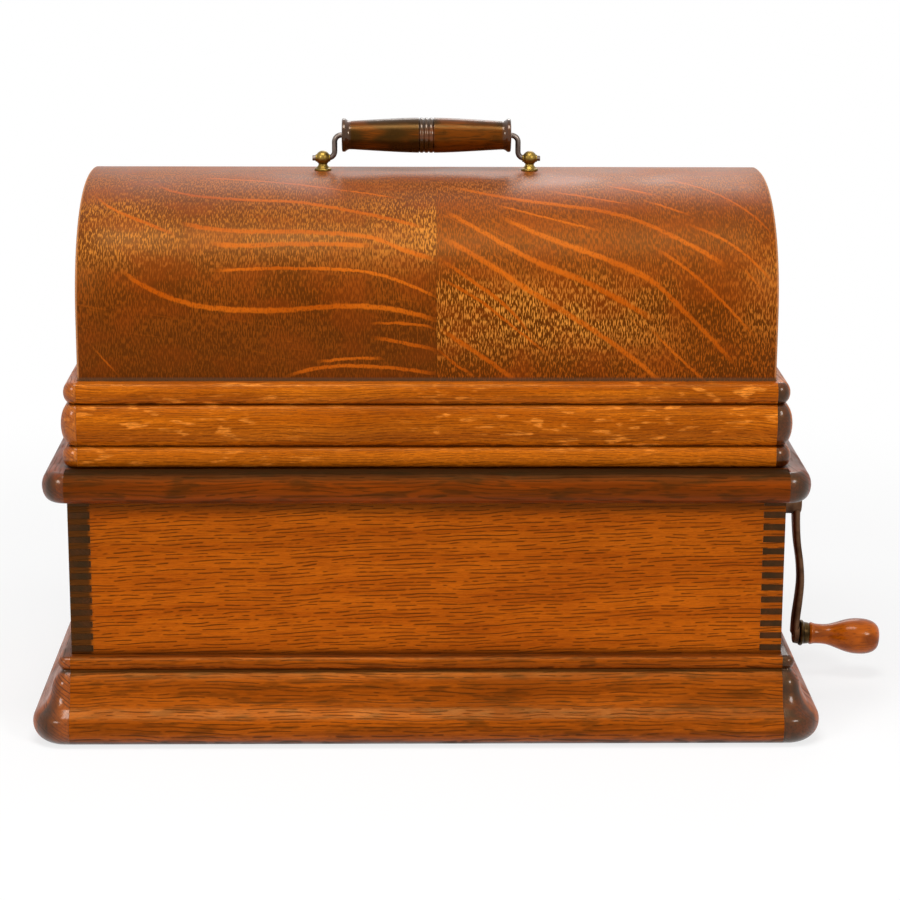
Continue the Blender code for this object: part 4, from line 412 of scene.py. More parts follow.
RIGHT_RAYS = (
    (3.2, (43, 85), (68, 72), (104, 58), (126, 48), (140, 36), (155, 22), (174, 2)),
    (3.2, (11, 90), (32, 75), (61, 58), (89, 47), (126, 28)),
    (3.2, (9, 71), (32, 58), (53, 45), (97, 19), (134, -10)),
    (2.2, (9, 58), (29, 45), (42, 36), (58, 19)),
    (1.8, (9, 48), (26, 39), (46, 25), (67, 8)),
    (3.0, (8, 21), (25, 10), (51, -9)),
    (1.8, (6, 10), (19, -1), (26, -5)),
    (2.8, (18, 115), (47, 103), (106, 89), (148, 68), (168, 56)),
    (1.6, (40, 96), (61, 88), (96, 77)),
    (1.6, (73, 110), (115, 97)),
    (1.6, (104, 119), (133, 106)),
    (1.6, (126, 100), (151, 87)),
    (1.8, (150, 80), (169, 70), (195, 47)),
    (2.0, (130, 65), (149, 52), (163, 40), (184, 19)),
    (1.6, (178, 55), (189, 43)),
    (1.8, (127, 21), (145, 3), (160, -11)),
    (1.8, (138, 132), (163, 112), (183, 91), (196, 74)),
    (1.4, (181, 9), (188, -4)),
)
VENEER_SEAM = 5 * MM
VENEER_HALF = 200 * MM
ARCH_FOOT = 219 * MM
ARCH_SIZE = 100 * MM
VENEER_FOOT = (211.6 * MM, 213.4 * MM)
RAY_LOW, RAY_HIGH = -20 * MM, 140 * MM


def rays(finish, across, up, streaks):
    """1 along each of these pale streaks, fading at its edges and its two ends."""
    share = across / (2 * VENEER_HALF) + 0.5
    found = 0.0
    for width, *points in streaks:
        line = [(x * MM / (2 * VENEER_HALF) + 0.5, height * MM) for x, height in points]
        middle = finish.curve(share, line, RAY_LOW, RAY_HIGH)
        start, end = points[0][0] * MM, points[-1][0] * MM
        band = up.near(middle, 0.25 * width * MM, 0.75 * width * MM)
        band = band * across.ramp(start - 4 * MM, start + 9 * MM)
        band = band * across.fade(end - 9 * MM, end + 4 * MM)
        found = band.most(found)
    return found


def veneer():
    """The arched lid's two veneers: fine dashes round the arch, crossed by pale streaks."""
    finish = Finish("lid_veneer", 0.35, tint=AMBER)
    x = finish.x
    front = (0 - finish.y).maths("SIGN")
    up = (finish.z - ARCH_FOOT).maths("ARCTAN2", finish.y.size()) * ARCH_SIZE
    across = (x - VENEER_SEAM) * front + VENEER_SEAM
    right = across.above(VENEER_SEAM)
    dash = finish.noise_at(x / (0.68 * MM), up / (3.4 * MM), 0.0)
    coarse = finish.noise_at(x / (1.7 * MM), up / (7 * MM), 3.0)
    patch = finish.lumps((16, 22, 22))
    bands = finish.noise_at(x / (9 * MM), up / (150 * MM), 7.0, 2.0)
    low_right = across.near(55 * MM, 30 * MM, 110 * MM) * up.near(28 * MM, 6 * MM, 32 * MM)
    far_right = across.ramp(165 * MM, 195 * MM) * up.near(45 * MM, 10 * MM, 40 * MM) * 0.5
    shoulder = across.ramp(-60 * MM, 0.0, 0.45, 1.0) + across.fade(-190 * MM, -120 * MM) * 0.4
    high_left = shoulder * up.near(80 * MM, 8 * MM, 34 * MM)
    open_grain = low_right.most(far_right) * right + high_left * (1 - right)
    lit = (dash + coarse * 0.12 + patch * 0.25).ramp(0.64, 0.8)
    dark = finish.mix(right, (76, 29, 1), (80, 32, 1))
    pale = finish.mix(right, (130, 60, 7), (146, 68, 8))
    # Painted sheen: the pale dashes turn paler and pinker up over the top of the arch
    pale = finish.mix(up.ramp(88 * MM, 120 * MM) * 0.7, pale, (176, 104, 48))
    pale = finish.mix(open_grain * 0.85, pale, (212, 134, 48))
    finish.colour = finish.mix(lit, dark, pale)
    ruddy = finish.lumps((34, 60, 60), 3.0)
    finish.lay(ruddy.ramp(0.45, 0.66) * 0.35, (134, 50, 4))
    # Painted light: the ground made lighter up over the top of the arch
    high = up.ramp(30 * MM, 95 * MM)
    finish.lay(high * 0.25, (146, 74, 18))
    low = up.fade(0.0, 60 * MM) * (1 - right)
    finish.lay(low * 0.45, (80, 32, 2))
    finish.lay(bands.ramp(0.48, 0.75) * 0.25, (78, 32, 2))
    ragged = finish.lumps((260, 260, 260)) - 0.5
    height = up + ragged * (1.8 * MM)
    streak = rays(finish, across, height, LEFT_RAYS) * (1 - right)
    streak = streak + rays(finish, across, height, RIGHT_RAYS) * right
    slope = 0.15 + right * 0.5
    thin = finish.noise_at(across / (34 * MM), (up + across * slope) / (2.3 * MM), 5.0)
    thin = thin.ramp(0.62, 0.74) * patch.ramp(0.4, 0.6) * (0.4 + right * 0.6)
    broken = finish.noise_at(x / (0.8 * MM), up / (2.2 * MM), 9.0).ramp(0.3, 0.52)
    streak = streak.most(thin * 0.35) * (0.35 + broken * 0.65)
    glow = finish.mix(patch.ramp(0.35, 0.65), (170, 73, 3), (194, 93, 12))
    finish.lay(streak * 0.85, glow)
    seam = x.near(VENEER_SEAM, 0.1 * MM, 0.4 * MM)
    finish.lay(seam * 0.25, (66, 28, 4))
    edge = x.size().ramp(VENEER_HALF - 3 * MM, VENEER_HALF - 2 * MM)
    finish.lay(edge * 0.55, (212, 150, 100))
    foot = finish.z.fade(*VENEER_FOOT)
    finish.lay(foot * 0.75, (84, 64, 46))
    cut_end = finish.normal()[0].size().ramp(0.6, 0.9)
    finish.lay(cut_end, (150, 84, 34))
    rough = patch.ramp(0.3, 0.7, 0.36, 0.48) + dash.ramp(0.4, 0.6) * 0.06
    return finish.done(rough, dash * 0.6 + streak * 0.4, 0.08 * MM)


# Other finishes


def walnut():
    """Dark turned walnut, worn orange in patches and glossy at its beads and its ends."""
    finish = Finish("grip_walnut", 0.35, tint=AMBER)
    grain = Grain(finish, "X", sway=1 * MM)
    along = finish.x.size()
    ends = along.ramp(44 * MM, 46 * MM)
    finish.coat((along.fade(4 * MM, 5 * MM) + ends) * 0.6, 0.12)
    patches = finish.lumps((34, 60, 60))
    lines = grain.noise(14 * MM, 0.7 * MM)
    worn = (patches + finish.x.ramp(-10 * MM, 12 * MM, -0.06, 0.06)).ramp(0.42, 0.6)
    finish.colour = finish.mix(worn, (42, 23, 4), (96, 43, 3))
    finish.lay(lines.ramp(0.45, 0.62) * 0.6, (32, 16, 4))
    finish.lay(ends * 0.7, (44, 20, 8))
    # Dirt and painted shade: darker in the crevices round the beads and collars, where less light
    # reaches
    finish.lay(finish.hollow(2 * MM).ramp(0.3, 0.8) * 0.8, (24, 14, 8))
    return finish.done(patches.ramp(0.3, 0.7, 0.22, 0.36), lines, 0.06 * MM)


def varnished_knob():
    """A turned maple-like knob under thick orange varnish."""
    finish = Finish("knob_varnish", 0.25, tint=AMBER)
    finish.coat(0.26, 0.12)
    grain = Grain(finish, "X", lean=-0.06, sway=1.5 * MM)
    patches = finish.lumps((50, 90, 90))
    lines = grain.noise(12 * MM, 1.1 * MM)
    finish.colour = finish.mix(patches.ramp(0.35, 0.65), (128, 54, 0), (188, 90, 3))
    finish.lay(lines.ramp(0.5, 0.7) * 0.5, (94, 36, 0))
    specks = grain.noise(2.5 * MM, 0.35 * MM, 1.0).ramp(0.66, 0.74)
    finish.lay(specks * 0.5, (96, 40, 4))
    return finish.done(patches.ramp(0.3, 0.7, 0.26, 0.36), patches, 0.1 * MM, 0.4)


def metal(name, bright, dull, rough, worn, scratch=0.02 * MM):
    """Aged metal: a bright face, dull patches, darker hollows and fine scratches."""
    finish = Finish(name, 0.5, metallic=1.0)
    patches = finish.lumps((120, 120, 120), 3.0)
    finish.colour = finish.mix(patches.ramp(0.4, 0.66) * worn, bright, dull)
    finish.lay(finish.hollow(2.5 * MM).ramp(0.3, 0.85) * 0.6, dull)
    scratches = finish.lumps((1400, 300, 300))
    uneven = patches.ramp(0.3, 0.7, rough, rough + 0.14)
    return finish.done(uneven + scratches.ramp(0.5, 0.7) * 0.05, scratches, scratch, 0.4)


def japanned():
    """Castings under glossy black stoving enamel."""
    finish = Finish("black_enamel", 0.5)
    patches = finish.lumps((45, 45, 45))
    finish.colour = finish.mix(patches.ramp(0.4, 0.7), (19, 18, 17), (28, 26, 24))
    return finish.done(patches.ramp(0.3, 0.7, 0.24, 0.3), finish.lumps((500, 500, 500)), 0.05 * MM)


def leather():
    """The flat belt: brown leather with fine pores."""
    finish = Finish("belt_leather", 0.2)
    patches = finish.lumps((70, 70, 70))
    finish.colour = finish.mix(patches.ramp(0.3, 0.7), (84, 50, 26), (116, 74, 42))
    rough = patches.ramp(0.3, 0.7, 0.6, 0.75)
    return finish.done(rough, finish.cells((1500, 1500, 1500)), 0.08 * MM)


# Making pieces

# Edges turned by more than this stay sharp on new pieces and on CAD nodes, or are rounded off
NEW_CREASE = radians(34)
CAD_CREASE = radians(38)
ROUNDED_FROM = radians(40)
WELD_REACH = 0.005 * MM
# (share of the radius, share of the height) of the upper half of a screw's head
HEAD_LEVELS = ((1.0, 0.4), (1.0, 0.6), (0.85, 0.88), (0.5, 1.0))
SLOT_HALF = 0.14


def smooth_finish(name, limit):
    """A node modifier that shades smoothly, except over edges sharper than this angle."""
    group = bpy.data.node_groups.new(name, "GeometryNodeTree")
    for way in ("INPUT", "OUTPUT"):
        group.interface.new_socket("Geometry", in_out=way, socket_type="NodeSocketGeometry")
    nodes = Nodes(group)
    start = nodes.node("NodeGroupInput").outputs[0]
    inputs = {"Geometry": start, "Name": "custom_normal"}
    plain = nodes.node("GeometryNodeRemoveAttribute", None, inputs).outputs[0]
    smooth = nodes.node("GeometryNodeSetShadeSmooth", None, {"Geometry": plain}).outputs[0]
    angle = nodes.node("GeometryNodeInputMeshEdgeAngle").outputs["Unsigned Angle"]
    sharp = nodes.maths("GREATER_THAN", angle, limit)
    inputs = {"Geometry": smooth, "Selection": sharp, "Shade Smooth": False}
    edges = nodes.node("GeometryNodeSetShadeSmooth", {"domain": "EDGE"}, inputs).outputs[0]
    nodes.node("NodeGroupOutput", None, {0: edges})
    return group


SMOOTH = smooth_finish("smooth_finish", NEW_CREASE)
ROUND = smooth_finish("round_finish", CAD_CREASE)


def ease(piece, edge=0.0):
    """Rounds the sharp edges of a piece by this much and shades it smoothly."""
    if edge:
        rounding = piece.modifiers.new("eased edges", "BEVEL")
        rounding.width = edge
        rounding.segments = 2
        rounding.limit_method = "ANGLE"
        rounding.angle_limit = ROUNDED_FROM
        rounding.use_clamp_overlap = True
    piece.modifiers.new("smooth finish", "NODES").node_group = SMOOTH


def shade_round(node):
    """Joins the triangles of a CAD node and shades its round faces smoothly."""
    node.modifiers.new("joined triangles", "WELD").merge_threshold = WELD_REACH
    node.modifiers.new("round finish", "NODES").node_group = ROUND


def give(piece, material):
    piece.data.materials.clear()
    piece.data.materials.append(material)


def dress(finishes, shade):
    """Gives CAD nodes their finishes and their way of shading."""
    for material, nodes in finishes:
        for node in nodes:
            give(NODES[node], material)
            shade(NODES[node])


def placed(name, data):
    """A new object in the scene that shows this mesh, light or camera."""
    made = bpy.data.objects.new(name, data)
    bpy.context.scene.collection.objects.link(made)
    return made


def mesh_piece(name, shape, material):
    mesh = bpy.data.meshes.new(name)
    shape.to_mesh(mesh)
    shape.free()
    piece = placed(name, mesh)
    give(piece, material)
    return piece


def add(name, shape, material, body, instead_of=(), edge=0.0):
    """Puts a new piece on a body, in place of these nodes."""
    bmesh.ops.recalc_face_normals(shape, faces=shape.faces)
    piece = mesh_piece(name, shape, material)
    ease(piece, edge)
    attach(piece, body)
    if instead_of:
        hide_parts(*instead_of)


def halfway(node, axis):
    """The middle of a node along this axis."""
    low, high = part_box(node)
    return (getattr(low, axis) + getattr(high, axis)) / 2


def in_mm(points):
    return [(first * MM, second * MM) for first, second in points]


def full_turn(steps):
    """The angles of even steps once round a circle."""
    return [2 * pi * step / steps for step in range(steps)]


def half_turn(steps):
    """The angles of even steps half round a circle, both ends included."""
    return [pi * step / steps for step in range(steps + 1)]


def circle(middle, side, up, radius, turns):
    return [middle + (side * cos(turn) + up * sin(turn)) * radius for turn in turns]


def arc(centre, radius, start, end, steps):
    """Points on an arc, both ends included."""
    turns = [start + (end - start) * step / steps for step in range(steps + 1)]
    return [(centre[0] + radius * cos(turn), centre[1] + radius * sin(turn)) for turn in turns]


def squared(turn, power):
    """The cosine and the sine of an angle, drawn out towards the corners of a square."""
    return [copysign(abs(wave) ** power, wave) for wave in (cos(turn), sin(turn))]


def loft(shape, rings, closed=False):
    """A surface through rings of as many points each, capped unless it runs round."""
    rows = [[shape.verts.new(point) for point in ring] for ring in rings]
    pairs = list(zip(rows, rows[1:])) + ([(rows[-1], rows[0])] if closed else [])
    for low, high in pairs:
        for index in range(len(low)):
            after = (index + 1) % len(low)
            shape.faces.new((low[index], low[after], high[after], high[index]))
    if not closed:
        shape.faces.new(rows[0])
        shape.faces.new(rows[-1])
    return shape


def frame_of(direction):
    """Two directions at right angles to this one and to each other."""
    heading = Vector(direction).normalized()
    helper = Vector((0, 0, 1)) if abs(heading.z) < 0.9 else Vector((0, 1, 0))
    side = heading.cross(helper).normalized()
    return side, heading.cross(side)


def turned(shape, profile, start, direction=(1, 0, 0), sides=48, ring=False):
    """A turned form or ring: (along, radius) points from a start along a direction."""
    start, heading = Vector(start), Vector(direction).normalized()
    side, up = frame_of(heading)
    turns = full_turn(sides)
    rings = [circle(start + heading * along, side, up, radius, turns) for along, radius in profile]
    return loft(shape, rings, ring)


def smoothed(points, steps=5):
    """A smooth line through points, with this many steps between each pair."""
    found = []
    for index in range(len(points) - 1):
        before = Vector(points[max(index - 1, 0)])
        first, second = Vector(points[index]), Vector(points[index + 1])
        after = Vector(points[min(index + 2, len(points) - 1)])
        for step in range(steps):
            share = step / steps
            pull = 2 * first + (second - before) * share
            pull += (2 * before - 5 * first + 4 * second - after) * share**2
            pull += (3 * first - before - 3 * second + after) * share**3
            found.append(tuple(pull / 2))
    return found + [tuple(points[-1])]


def tube(path, radius, side):
    """A round bar along a path that stays square to one side direction."""
    points = [Vector(point) for point in path]
    side = Vector(side)
    rings = []
    for index, point in enumerate(points):
        heading = points[min(index + 1, len(points) - 1)] - points[max(index - 1, 0)]
        up = heading.normalized().cross(side)
        rings.append(circle(point, side, up, radius, full_turn(20)))
    return loft(bmesh.new(), rings)


def screw_head(shape, middle, outward, radius, height, slot_turn):
    """A round screw head with a cut slot, seated on a face that faces outward."""
    middle, outward = Vector(middle), Vector(outward).normalized()
    side, up = frame_of(outward)
    along = side * cos(slot_turn) + up * sin(slot_turn)
    cross = outward.cross(along)
    turned(shape, ((0.0, radius), (0.5 * height, radius)), middle, outward, 20)
    for sign in (-1, 1):
        rings = []
        for share, level in HEAD_LEVELS:
            first = asin(SLOT_HALF / share)
            turns = [first + (pi - 2 * first) * step / 10 for step in range(11)]
            raised = middle + outward * (height * level)
            rings.append(circle(raised, along, cross * sign, radius * share, turns))
        loft(shape, rings)


# Carrying handle

LID_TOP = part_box("lid_shell")[1].z
POST_X = halfway("handle_post_right", "x")
PIVOT_Z = LID_TOP + 7.3 * MM
GRIP_AXIS_Z = halfway("handle_grip", "z")
WIRE = 1.6 * MM
WIRE_CURL = 4 * MM
WIRE_BEND = 7 * MM
WIRE_TAIL = (6.2 * MM, 3 * MM)
GRIP_PLAY = 0.3 * MM
GRIP_HALF = 50 * MM
# (along from the middle, radius) of half the grip, in millimetres
GRIP_BODY = ((4.5, 10.3), (14, 10.05), (26, 9.45), (38, 8.75), (44.4, 8.4), (46.2, 8.6), (47.6, 9.5))
GRIP_FLARE = ((48.1, 9.85), (49.3, 9.85), (49.8, 9.5), (50.0, 8.6))
GRIP_BEADS = 3
BEAD_STEPS = 8
BEAD_WIDTH = 2.8
BEAD_FOOT = 9.7
BEAD_HEIGHT = 0.65
# (along, radius) of a post's moulded foot and of the bosses on its ball, in millimetres
POST_FOOT = ((0, 5), (0.7, 5), (1.1, 4.7), (1.3, 3.9), (1.7, 3.6), (2.2, 3.2), (2.9, 2.7), (3.5, 2.6))
POST_BOSS = ((3.4, 2.2), (4.1, 2.2), (4.4, 1.9))
BALL_MIDDLE = (7.2, 0)
BALL_RADIUS = 4.25
POST_LIFT = 0.2 * MM


def grip_profile():
    """The whole grip from end to end: flared ends and three small beads round its middle."""
    beads = []
    low = -GRIP_BEADS * BEAD_WIDTH / 2
    for bead in range(GRIP_BEADS):
        for step in range(BEAD_STEPS + 1):
            share = step / BEAD_STEPS
            along = low + (bead + share) * BEAD_WIDTH
            beads.append((along, BEAD_FOOT + BEAD_HEIGHT * sin(pi * share) ** 0.6))
    half = smoothed(GRIP_BODY, 6) + list(GRIP_FLARE)
    left = [(-along, radius) for along, radius in reversed(half)]
    return in_mm(left + beads + half)


def grip(material):
    bore = WIRE + GRIP_PLAY
    profile = [(-GRIP_HALF + 0.6 * MM, bore), (-GRIP_HALF, bore + 1 * MM), *grip_profile()]
    shape = turned(bmesh.new(), profile, (0, 0, GRIP_AXIS_Z))
    add("turned_grip", shape, material, "grip", ["handle_grip"])


def bail(material):
    """The bent wire that carries the grip, with the squared tails outside the ball posts."""
    bend = POST_X - WIRE_BEND
    side = [(POST_X + tail, PIVOT_Z) for tail in WIRE_TAIL]
    side += arc((bend + WIRE_CURL, PIVOT_Z + WIRE_CURL), WIRE_CURL, -pi / 2, -pi, 8)
    side += arc((bend - WIRE_CURL, GRIP_AXIS_Z - WIRE_CURL), WIRE_CURL, 0, pi / 2, 8)
    path = [(x, 0, z) for x, z in side] + [(-x, 0, z) for x, z in reversed(side)]
    shape = tube(path, WIRE, (0, 1, 0))
    add("bail_wire", shape, material, "handle", ["handle_bail"], 0.3 * MM)


def ball_post(name, side, material):
    """A turned brass post: a moulded foot, a short neck and a ball that the wire runs through."""
    ball = arc(BALL_MIDDLE, BALL_RADIUS, radians(142), radians(14), 16)
    foot = (side * POST_X, 0, LID_TOP + POST_LIFT)
    shape = turned(bmesh.new(), in_mm([*POST_FOOT, *ball]), foot, (0, 0, 1))
    for way in (-1, 1):
        turned(shape, in_mm(POST_BOSS), (side * POST_X, 0, PIVOT_Z), (way, 0, 0), 24)
    add(f"ball_post_{name}", shape, material, "lid", [f"handle_post_{name}"])


# Winding crank

CRANK_Z = 114 * MM
CRANK_THROW = 85 * MM
ARM_X = CASE_SIDE + 22 * MM
ARM_POWER = 0.55
KNOB_DROOP = radians(3.6)
KNOB_WAY = (cos(KNOB_DROOP), 0, -sin(KNOB_DROOP))
KNOB_START = (ARM_X + 2 * MM, 0, CRANK_Z - CRANK_THROW)
FERRULE_START = 2.5
BODY_START = FERRULE_START + 6.2
HUB_START = CASE_SIDE + 6 * MM
# (along, radius) of the hub, the eye round the pin, the two pins and the ferrule, in millimetres
HUB = ((0.0, 7.2), (0.6, 7.9), (1.4, 8.0), (13.4, 8.0), (14.2, 7.9), (18.0, 7.9), (18.6, 7.4))
EYE = ((-0.9, 6.0), (-0.6, 6.6), (2.0, 7.0), (2.3, 6.7))
HUB_PIN = ((0, 4), (7, 4))
KNOB_PIN = ((0, 3), (44, 3))
FERRULE_FORM = (
    (0.0, 6.6), (0.3, 7.6), (0.9, 8.0), (1.8, 8.0), (2.3, 7.5), (2.8, 6.9), (4.4, 6.7), (5.6, 6.5),
    (6.0, 6.2),
)
# (share of the way down the arm, how far it bows out, thickness, width) in millimetres
ARM_STATIONS = (
    (0.0, 0.0, 4.9, 13.0),
    (0.14, 0.2, 4.6, 12.4),
    (0.3, 1.3, 4.4, 11.6),
    (0.46, 3.4, 4.4, 11.0),
    (0.6, 4.3, 4.5, 10.8),
    (0.74, 3.6, 4.8, 10.8),
    (0.88, 2.4, 4.9, 11.4),
    (1.0, 2.0, 4.9, 12.0),
)
# (along from the ferrule, radius) of the knob, in millimetres
KNOB_BODY = (
    (0.0, 6.3), (1.2, 6.9), (2.2, 6.6), (4.0, 6.2), (8.0, 6.1), (12, 6.5), (17, 8.0), (22, 9.7),
    (27, 10.8), (31.5, 11.05), (36, 10.7), (40, 9.4), (42.6, 7.2), (43.6, 4.6), (44.0, 1.0),
)


def crank_arm(material):
    """The flat bronzed arm with its soft S bend, its hub, its eye and the knob's pin."""
    shape = bmesh.new()
    stations = smoothed([(share, bow) for share, bow, _, _ in ARM_STATIONS])
    sizes = smoothed([(thick, wide) for _, _, thick, wide in ARM_STATIONS])
    rings = []
    for (share, bow), (thick, wide) in zip(stations, sizes):
        x, z = ARM_X + bow * MM, CRANK_Z - CRANK_THROW * share
        ring = []
        for turn in full_turn(24):
            across, out = squared(turn, ARM_POWER)
            ring.append((x + across * thick * MM / 2, out * wide * MM / 2, z))
        rings.append(ring)
    loft(shape, rings)
    turned(shape, in_mm(HUB), (HUB_START, 0, CRANK_Z))
    turned(shape, in_mm(HUB_PIN), (CASE_SIDE, 0, CRANK_Z))
    turned(shape, in_mm(EYE), KNOB_START, KNOB_WAY)
    turned(shape, in_mm(KNOB_PIN), KNOB_START, KNOB_WAY)
    add("winding_crank", shape, material, "crank", ["crank_arm"])


def crank_knob(varnish, brass):
    """The ferrule and the knob, both turned about the arm's pin."""
    profile = [(FERRULE_START + along, radius) for along, radius in FERRULE_FORM]
    shape = turned(bmesh.new(), in_mm(profile), KNOB_START, KNOB_WAY)
    add("knob_ferrule", shape, brass, "knob", ["crank_ferrule"])
    profile = [(BODY_START + along, radius) for along, radius in smoothed(KNOB_BODY)]
    shape = turned(bmesh.new(), in_mm(profile), KNOB_START, KNOB_WAY, 64)
    add("turned_knob", shape, varnish, "knob", ["crank_knob"])


# Mouldings and lid

# The plinth, in millimetres: (projection, height) of the middles of its nose and its bead
NOSE_MIDDLE, NOSE_RADIUS = (11, 12), 12
BEAD_MIDDLE, BEAD_RADIUS = (3.6, 46.6), 4.0
# (height, projection) of its cove, of the groove over it and of its top
COVE = (
    (14.2, 22.8), (16.4, 22.1), (18.4, 20.6), (20.7, 18.0), (23.4, 15.3), (28.6, 12.4),
    (34.4, 11.0), (37.9, 9.2), (42.0, 5.4),
)
GROOVE = (42.5, 5.2)
TOP_EDGE = (50.6, 4.4)
# (height, projection, depth) of the rim's round edge and of the lid's three reeds, from below
RIM_EDGE = (18, 13.8, 6)
REEDS = ((12.6, 2.3, 4.2), (24.4, 2.8, 5.6), (12.4, 1.0, 4.2))
BOARDS = (("left", -1, "x"), ("right", 1, "x"), ("front", -1, "y"), ("back", 1, "y"))
# Corner radius of each set of boards
CORNERS = {"plinth": 20 * MM, "rim": 14 * MM, "lid_moulding": 9 * MM}
ARCH_RISE = 75 * MM
ARCH_POWER = 2 / 2.35
ARCH_STEPS = 96
LID_WALL = 6 * MM
# (distance from the end, drop) of the fine round along the ends of the lid, in millimetres
LID_ROUND = ((0.0, 0.8), (0.25, 0.3), (0.8, 0.0))


def plinth_levels():
    """(height, projection) up the plinth: a round nose, a cove, and a bead over a groove."""
    nose = arc(NOSE_MIDDLE, NOSE_RADIUS, -pi / 2, 0, 12)
    bead = arc(BEAD_MIDDLE, BEAD_RADIUS, radians(-62), radians(80), 10)[:-1]
    levels = [(height, out) for out, height in nose] + smoothed(COVE) + [GROOVE]
    return in_mm(levels + [(height, out) for out, height in bead] + [TOP_EDGE])


def round_edge(base, height, out, depth):
    """(height, projection) up one round edge, from sizes in millimetres."""
    levels = []
    for turn in half_turn(16):
        level = base + height * MM * (1 - cos(turn)) / 2
        levels.append((level, (out - depth * (1 - sin(turn))) * MM))
    return levels


def reed_levels():
    """The three reeds round the lid's foot, from the bottom up."""
    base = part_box("lid_moulding_front")[0].z
    levels = []
    for reed in REEDS:
        # A reed starts at the point where the one below it ended
        levels += round_edge(base, *reed)[1 if levels else 0 :]
        base += reed[0] * MM
    return levels


def side_moulding(levels, inner, corner, side):
    """A side board, moulded outside, whose front and back corners are rounded."""
    widest = max(out for _, out in levels)
    rings = []
    for height, out in levels:
        radius = corner - (widest - out)
        reach, front = CASE_SIDE + out, CASE_FACE + out
        plan = [(inner, -front)]
        plan += arc((reach - radius, radius - front), radius, -pi / 2, 0, 12)
        plan += arc((reach - radius, front - radius), radius, 0, pi / 2, 12)
        plan.append((inner, front))
        rings.append([(side * x, y, height) for x, y in plan])
    return loft(bmesh.new(), rings)


def long_moulding(levels, inner, half_width, side):
    """The straight board between the side boards, at the front (side -1) or the back."""
    rings = []
    stations = [-half_width + 2 * half_width * step / 8 for step in range(9)]
    for height, out in levels:
        face = side * (CASE_FACE + out)
        ring = [(x, side * inner, height) for x in stations]
        ring += [(x, face, height) for x in reversed(stations)]
        rings.append(ring)
    return loft(bmesh.new(), rings)


def mouldings(name, nodes, levels, body, long_finish, side_finish):
    """Four moulded boards that stand for the plain ones: two sides and two between them."""
    for word, side, axis in BOARDS:
        low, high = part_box(f"{nodes}_{word}")
        inner = min(abs(getattr(low, axis)), abs(getattr(high, axis)))
        if axis == "x":
            shape, finish = side_moulding(levels, inner, CORNERS[nodes], side), side_finish
        else:
            shape, finish = long_moulding(levels, inner, high.x, side), long_finish
        add(f"{name}_{word}", shape, finish, body, [f"{nodes}_{word}"])


def arch_outline(half_depth, rise, spring, base):
    """The lid's end outline: upright sides under a flattened arch."""
    points = [(half_depth, base)]
    for turn in half_turn(ARCH_STEPS):
        share, up = squared(turn, ARCH_POWER)
        points.append((half_depth * share, spring + rise * up))
    points.append((-half_depth, base))
    return points


def arched_lid(material):
    """The bent veneered shell, with a fine round along its outer edges."""
    low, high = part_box("lid_shell")
    spring = high.z - ARCH_RISE
    inside = arch_outline(high.y - LID_WALL, ARCH_RISE - LID_WALL, spring, low.z)[::-1]
    stations = [(low.x + inset, drop) for inset, drop in in_mm(LID_ROUND)]
    stations += [(x * MM, 0.0) for x in range(-180, 181, 40)]
    stations += [(high.x - inset, drop) for inset, drop in in_mm(reversed(LID_ROUND))]
    rings = []
    for x, drop in stations:
        outside = arch_outline(high.y - drop, ARCH_RISE - drop, spring, low.z)
        rings.append([(x, y, z) for y, z in outside + inside])
    add("lid_arch", loft(bmesh.new(), rings), material, "lid", ["lid_shell"])


# Finishes of the boards and the works

# Oak tones from dark to light
LID_TONES = ((80, 32, 1), (114, 51, 4), (140, 68, 9))
REED_TONES = ((110, 45, 1), (162, 77, 5), (186, 96, 12))
RIM_TONES = ((52, 16, 0), (98, 35, 0), (126, 49, 1))
CASE_TONES = ((128, 48, 0), (160, 71, 3), (178, 85, 7))
PLINTH_TONES = ((98, 37, 0), (136, 60, 3), (160, 75, 7))


def finish_boards():
    fingered = {"polish": 0.12, "end_tones": FINGER_TONES}
    marks = {"corner": (0.9, 0.2), "painted_shade_bands": 0.55, "pore_size": 0.86, **fingered}
    case = oak("case_oak", "X", CASE_TONES, 0.85, lean=-0.025, sway=1.2 * MM, **marks)
    case_side = oak("case_side_oak", "Y", CASE_TONES, 0.85, painted_shade_bands=0.4, start=0.7, **fingered)
    works = oak("works_board_oak", "X", CASE_TONES, start=1.4)
    lid_end = oak("lid_end_oak", "Y", LID_TONES, 0.7, flecks=0.3, start=2.1)
    boards = (
        (case, ("case_front", "case_back", "case_bottom")),
        (case_side, ("case_left", "case_right")),
        (works, ("works_board",)),
        (lid_end, ("lid_end_left", "lid_end_right")),
    )
    dress(boards, ease)
    plinth = oak("plinth_oak", "X", PLINTH_TONES, foot=0.45, groove=0.8, start=2.8)
    marks = {"foot": 0.3, "groove": 0.8, "blend": 14 * MM}
    plinth_side = oak("plinth_side_oak", "Y", PLINTH_TONES, start=3.5, **marks)
    mouldings("plinth_moulding", "plinth", plinth_levels(), "case", plinth, plinth_side)
    rim = oak("rim_oak", "X", RIM_TONES, 0.75, foot=0.6, painted_lid_shadow=0.94, start=1.4)
    rim_side = oak("rim_side_oak", "Y", RIM_TONES, 0.5, foot=0.5, blend=9 * MM, start=4.2)
    rim_levels = round_edge(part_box("rim_front")[0].z, *RIM_EDGE)
    mouldings("rim_moulding", "rim", rim_levels, "works", rim, rim_side)
    small = {"pore_size": 0.6, "reach": 4 * MM}
    reed = oak("reed_oak", "X", REED_TONES, 0.55, 0.6, flecks=0.9, painted_foot_light=0.9, start=4.9, **small)
    small.update(flecks=0.5, blend=4 * MM, start=5.6)
    reed_side = oak("reed_side_oak", "Y", REED_TONES, 0.5, 0.5, **small)
    mouldings("reeds", "lid_moulding", reed_levels(), "lid", reed, reed_side)
    arched_lid(veneer())


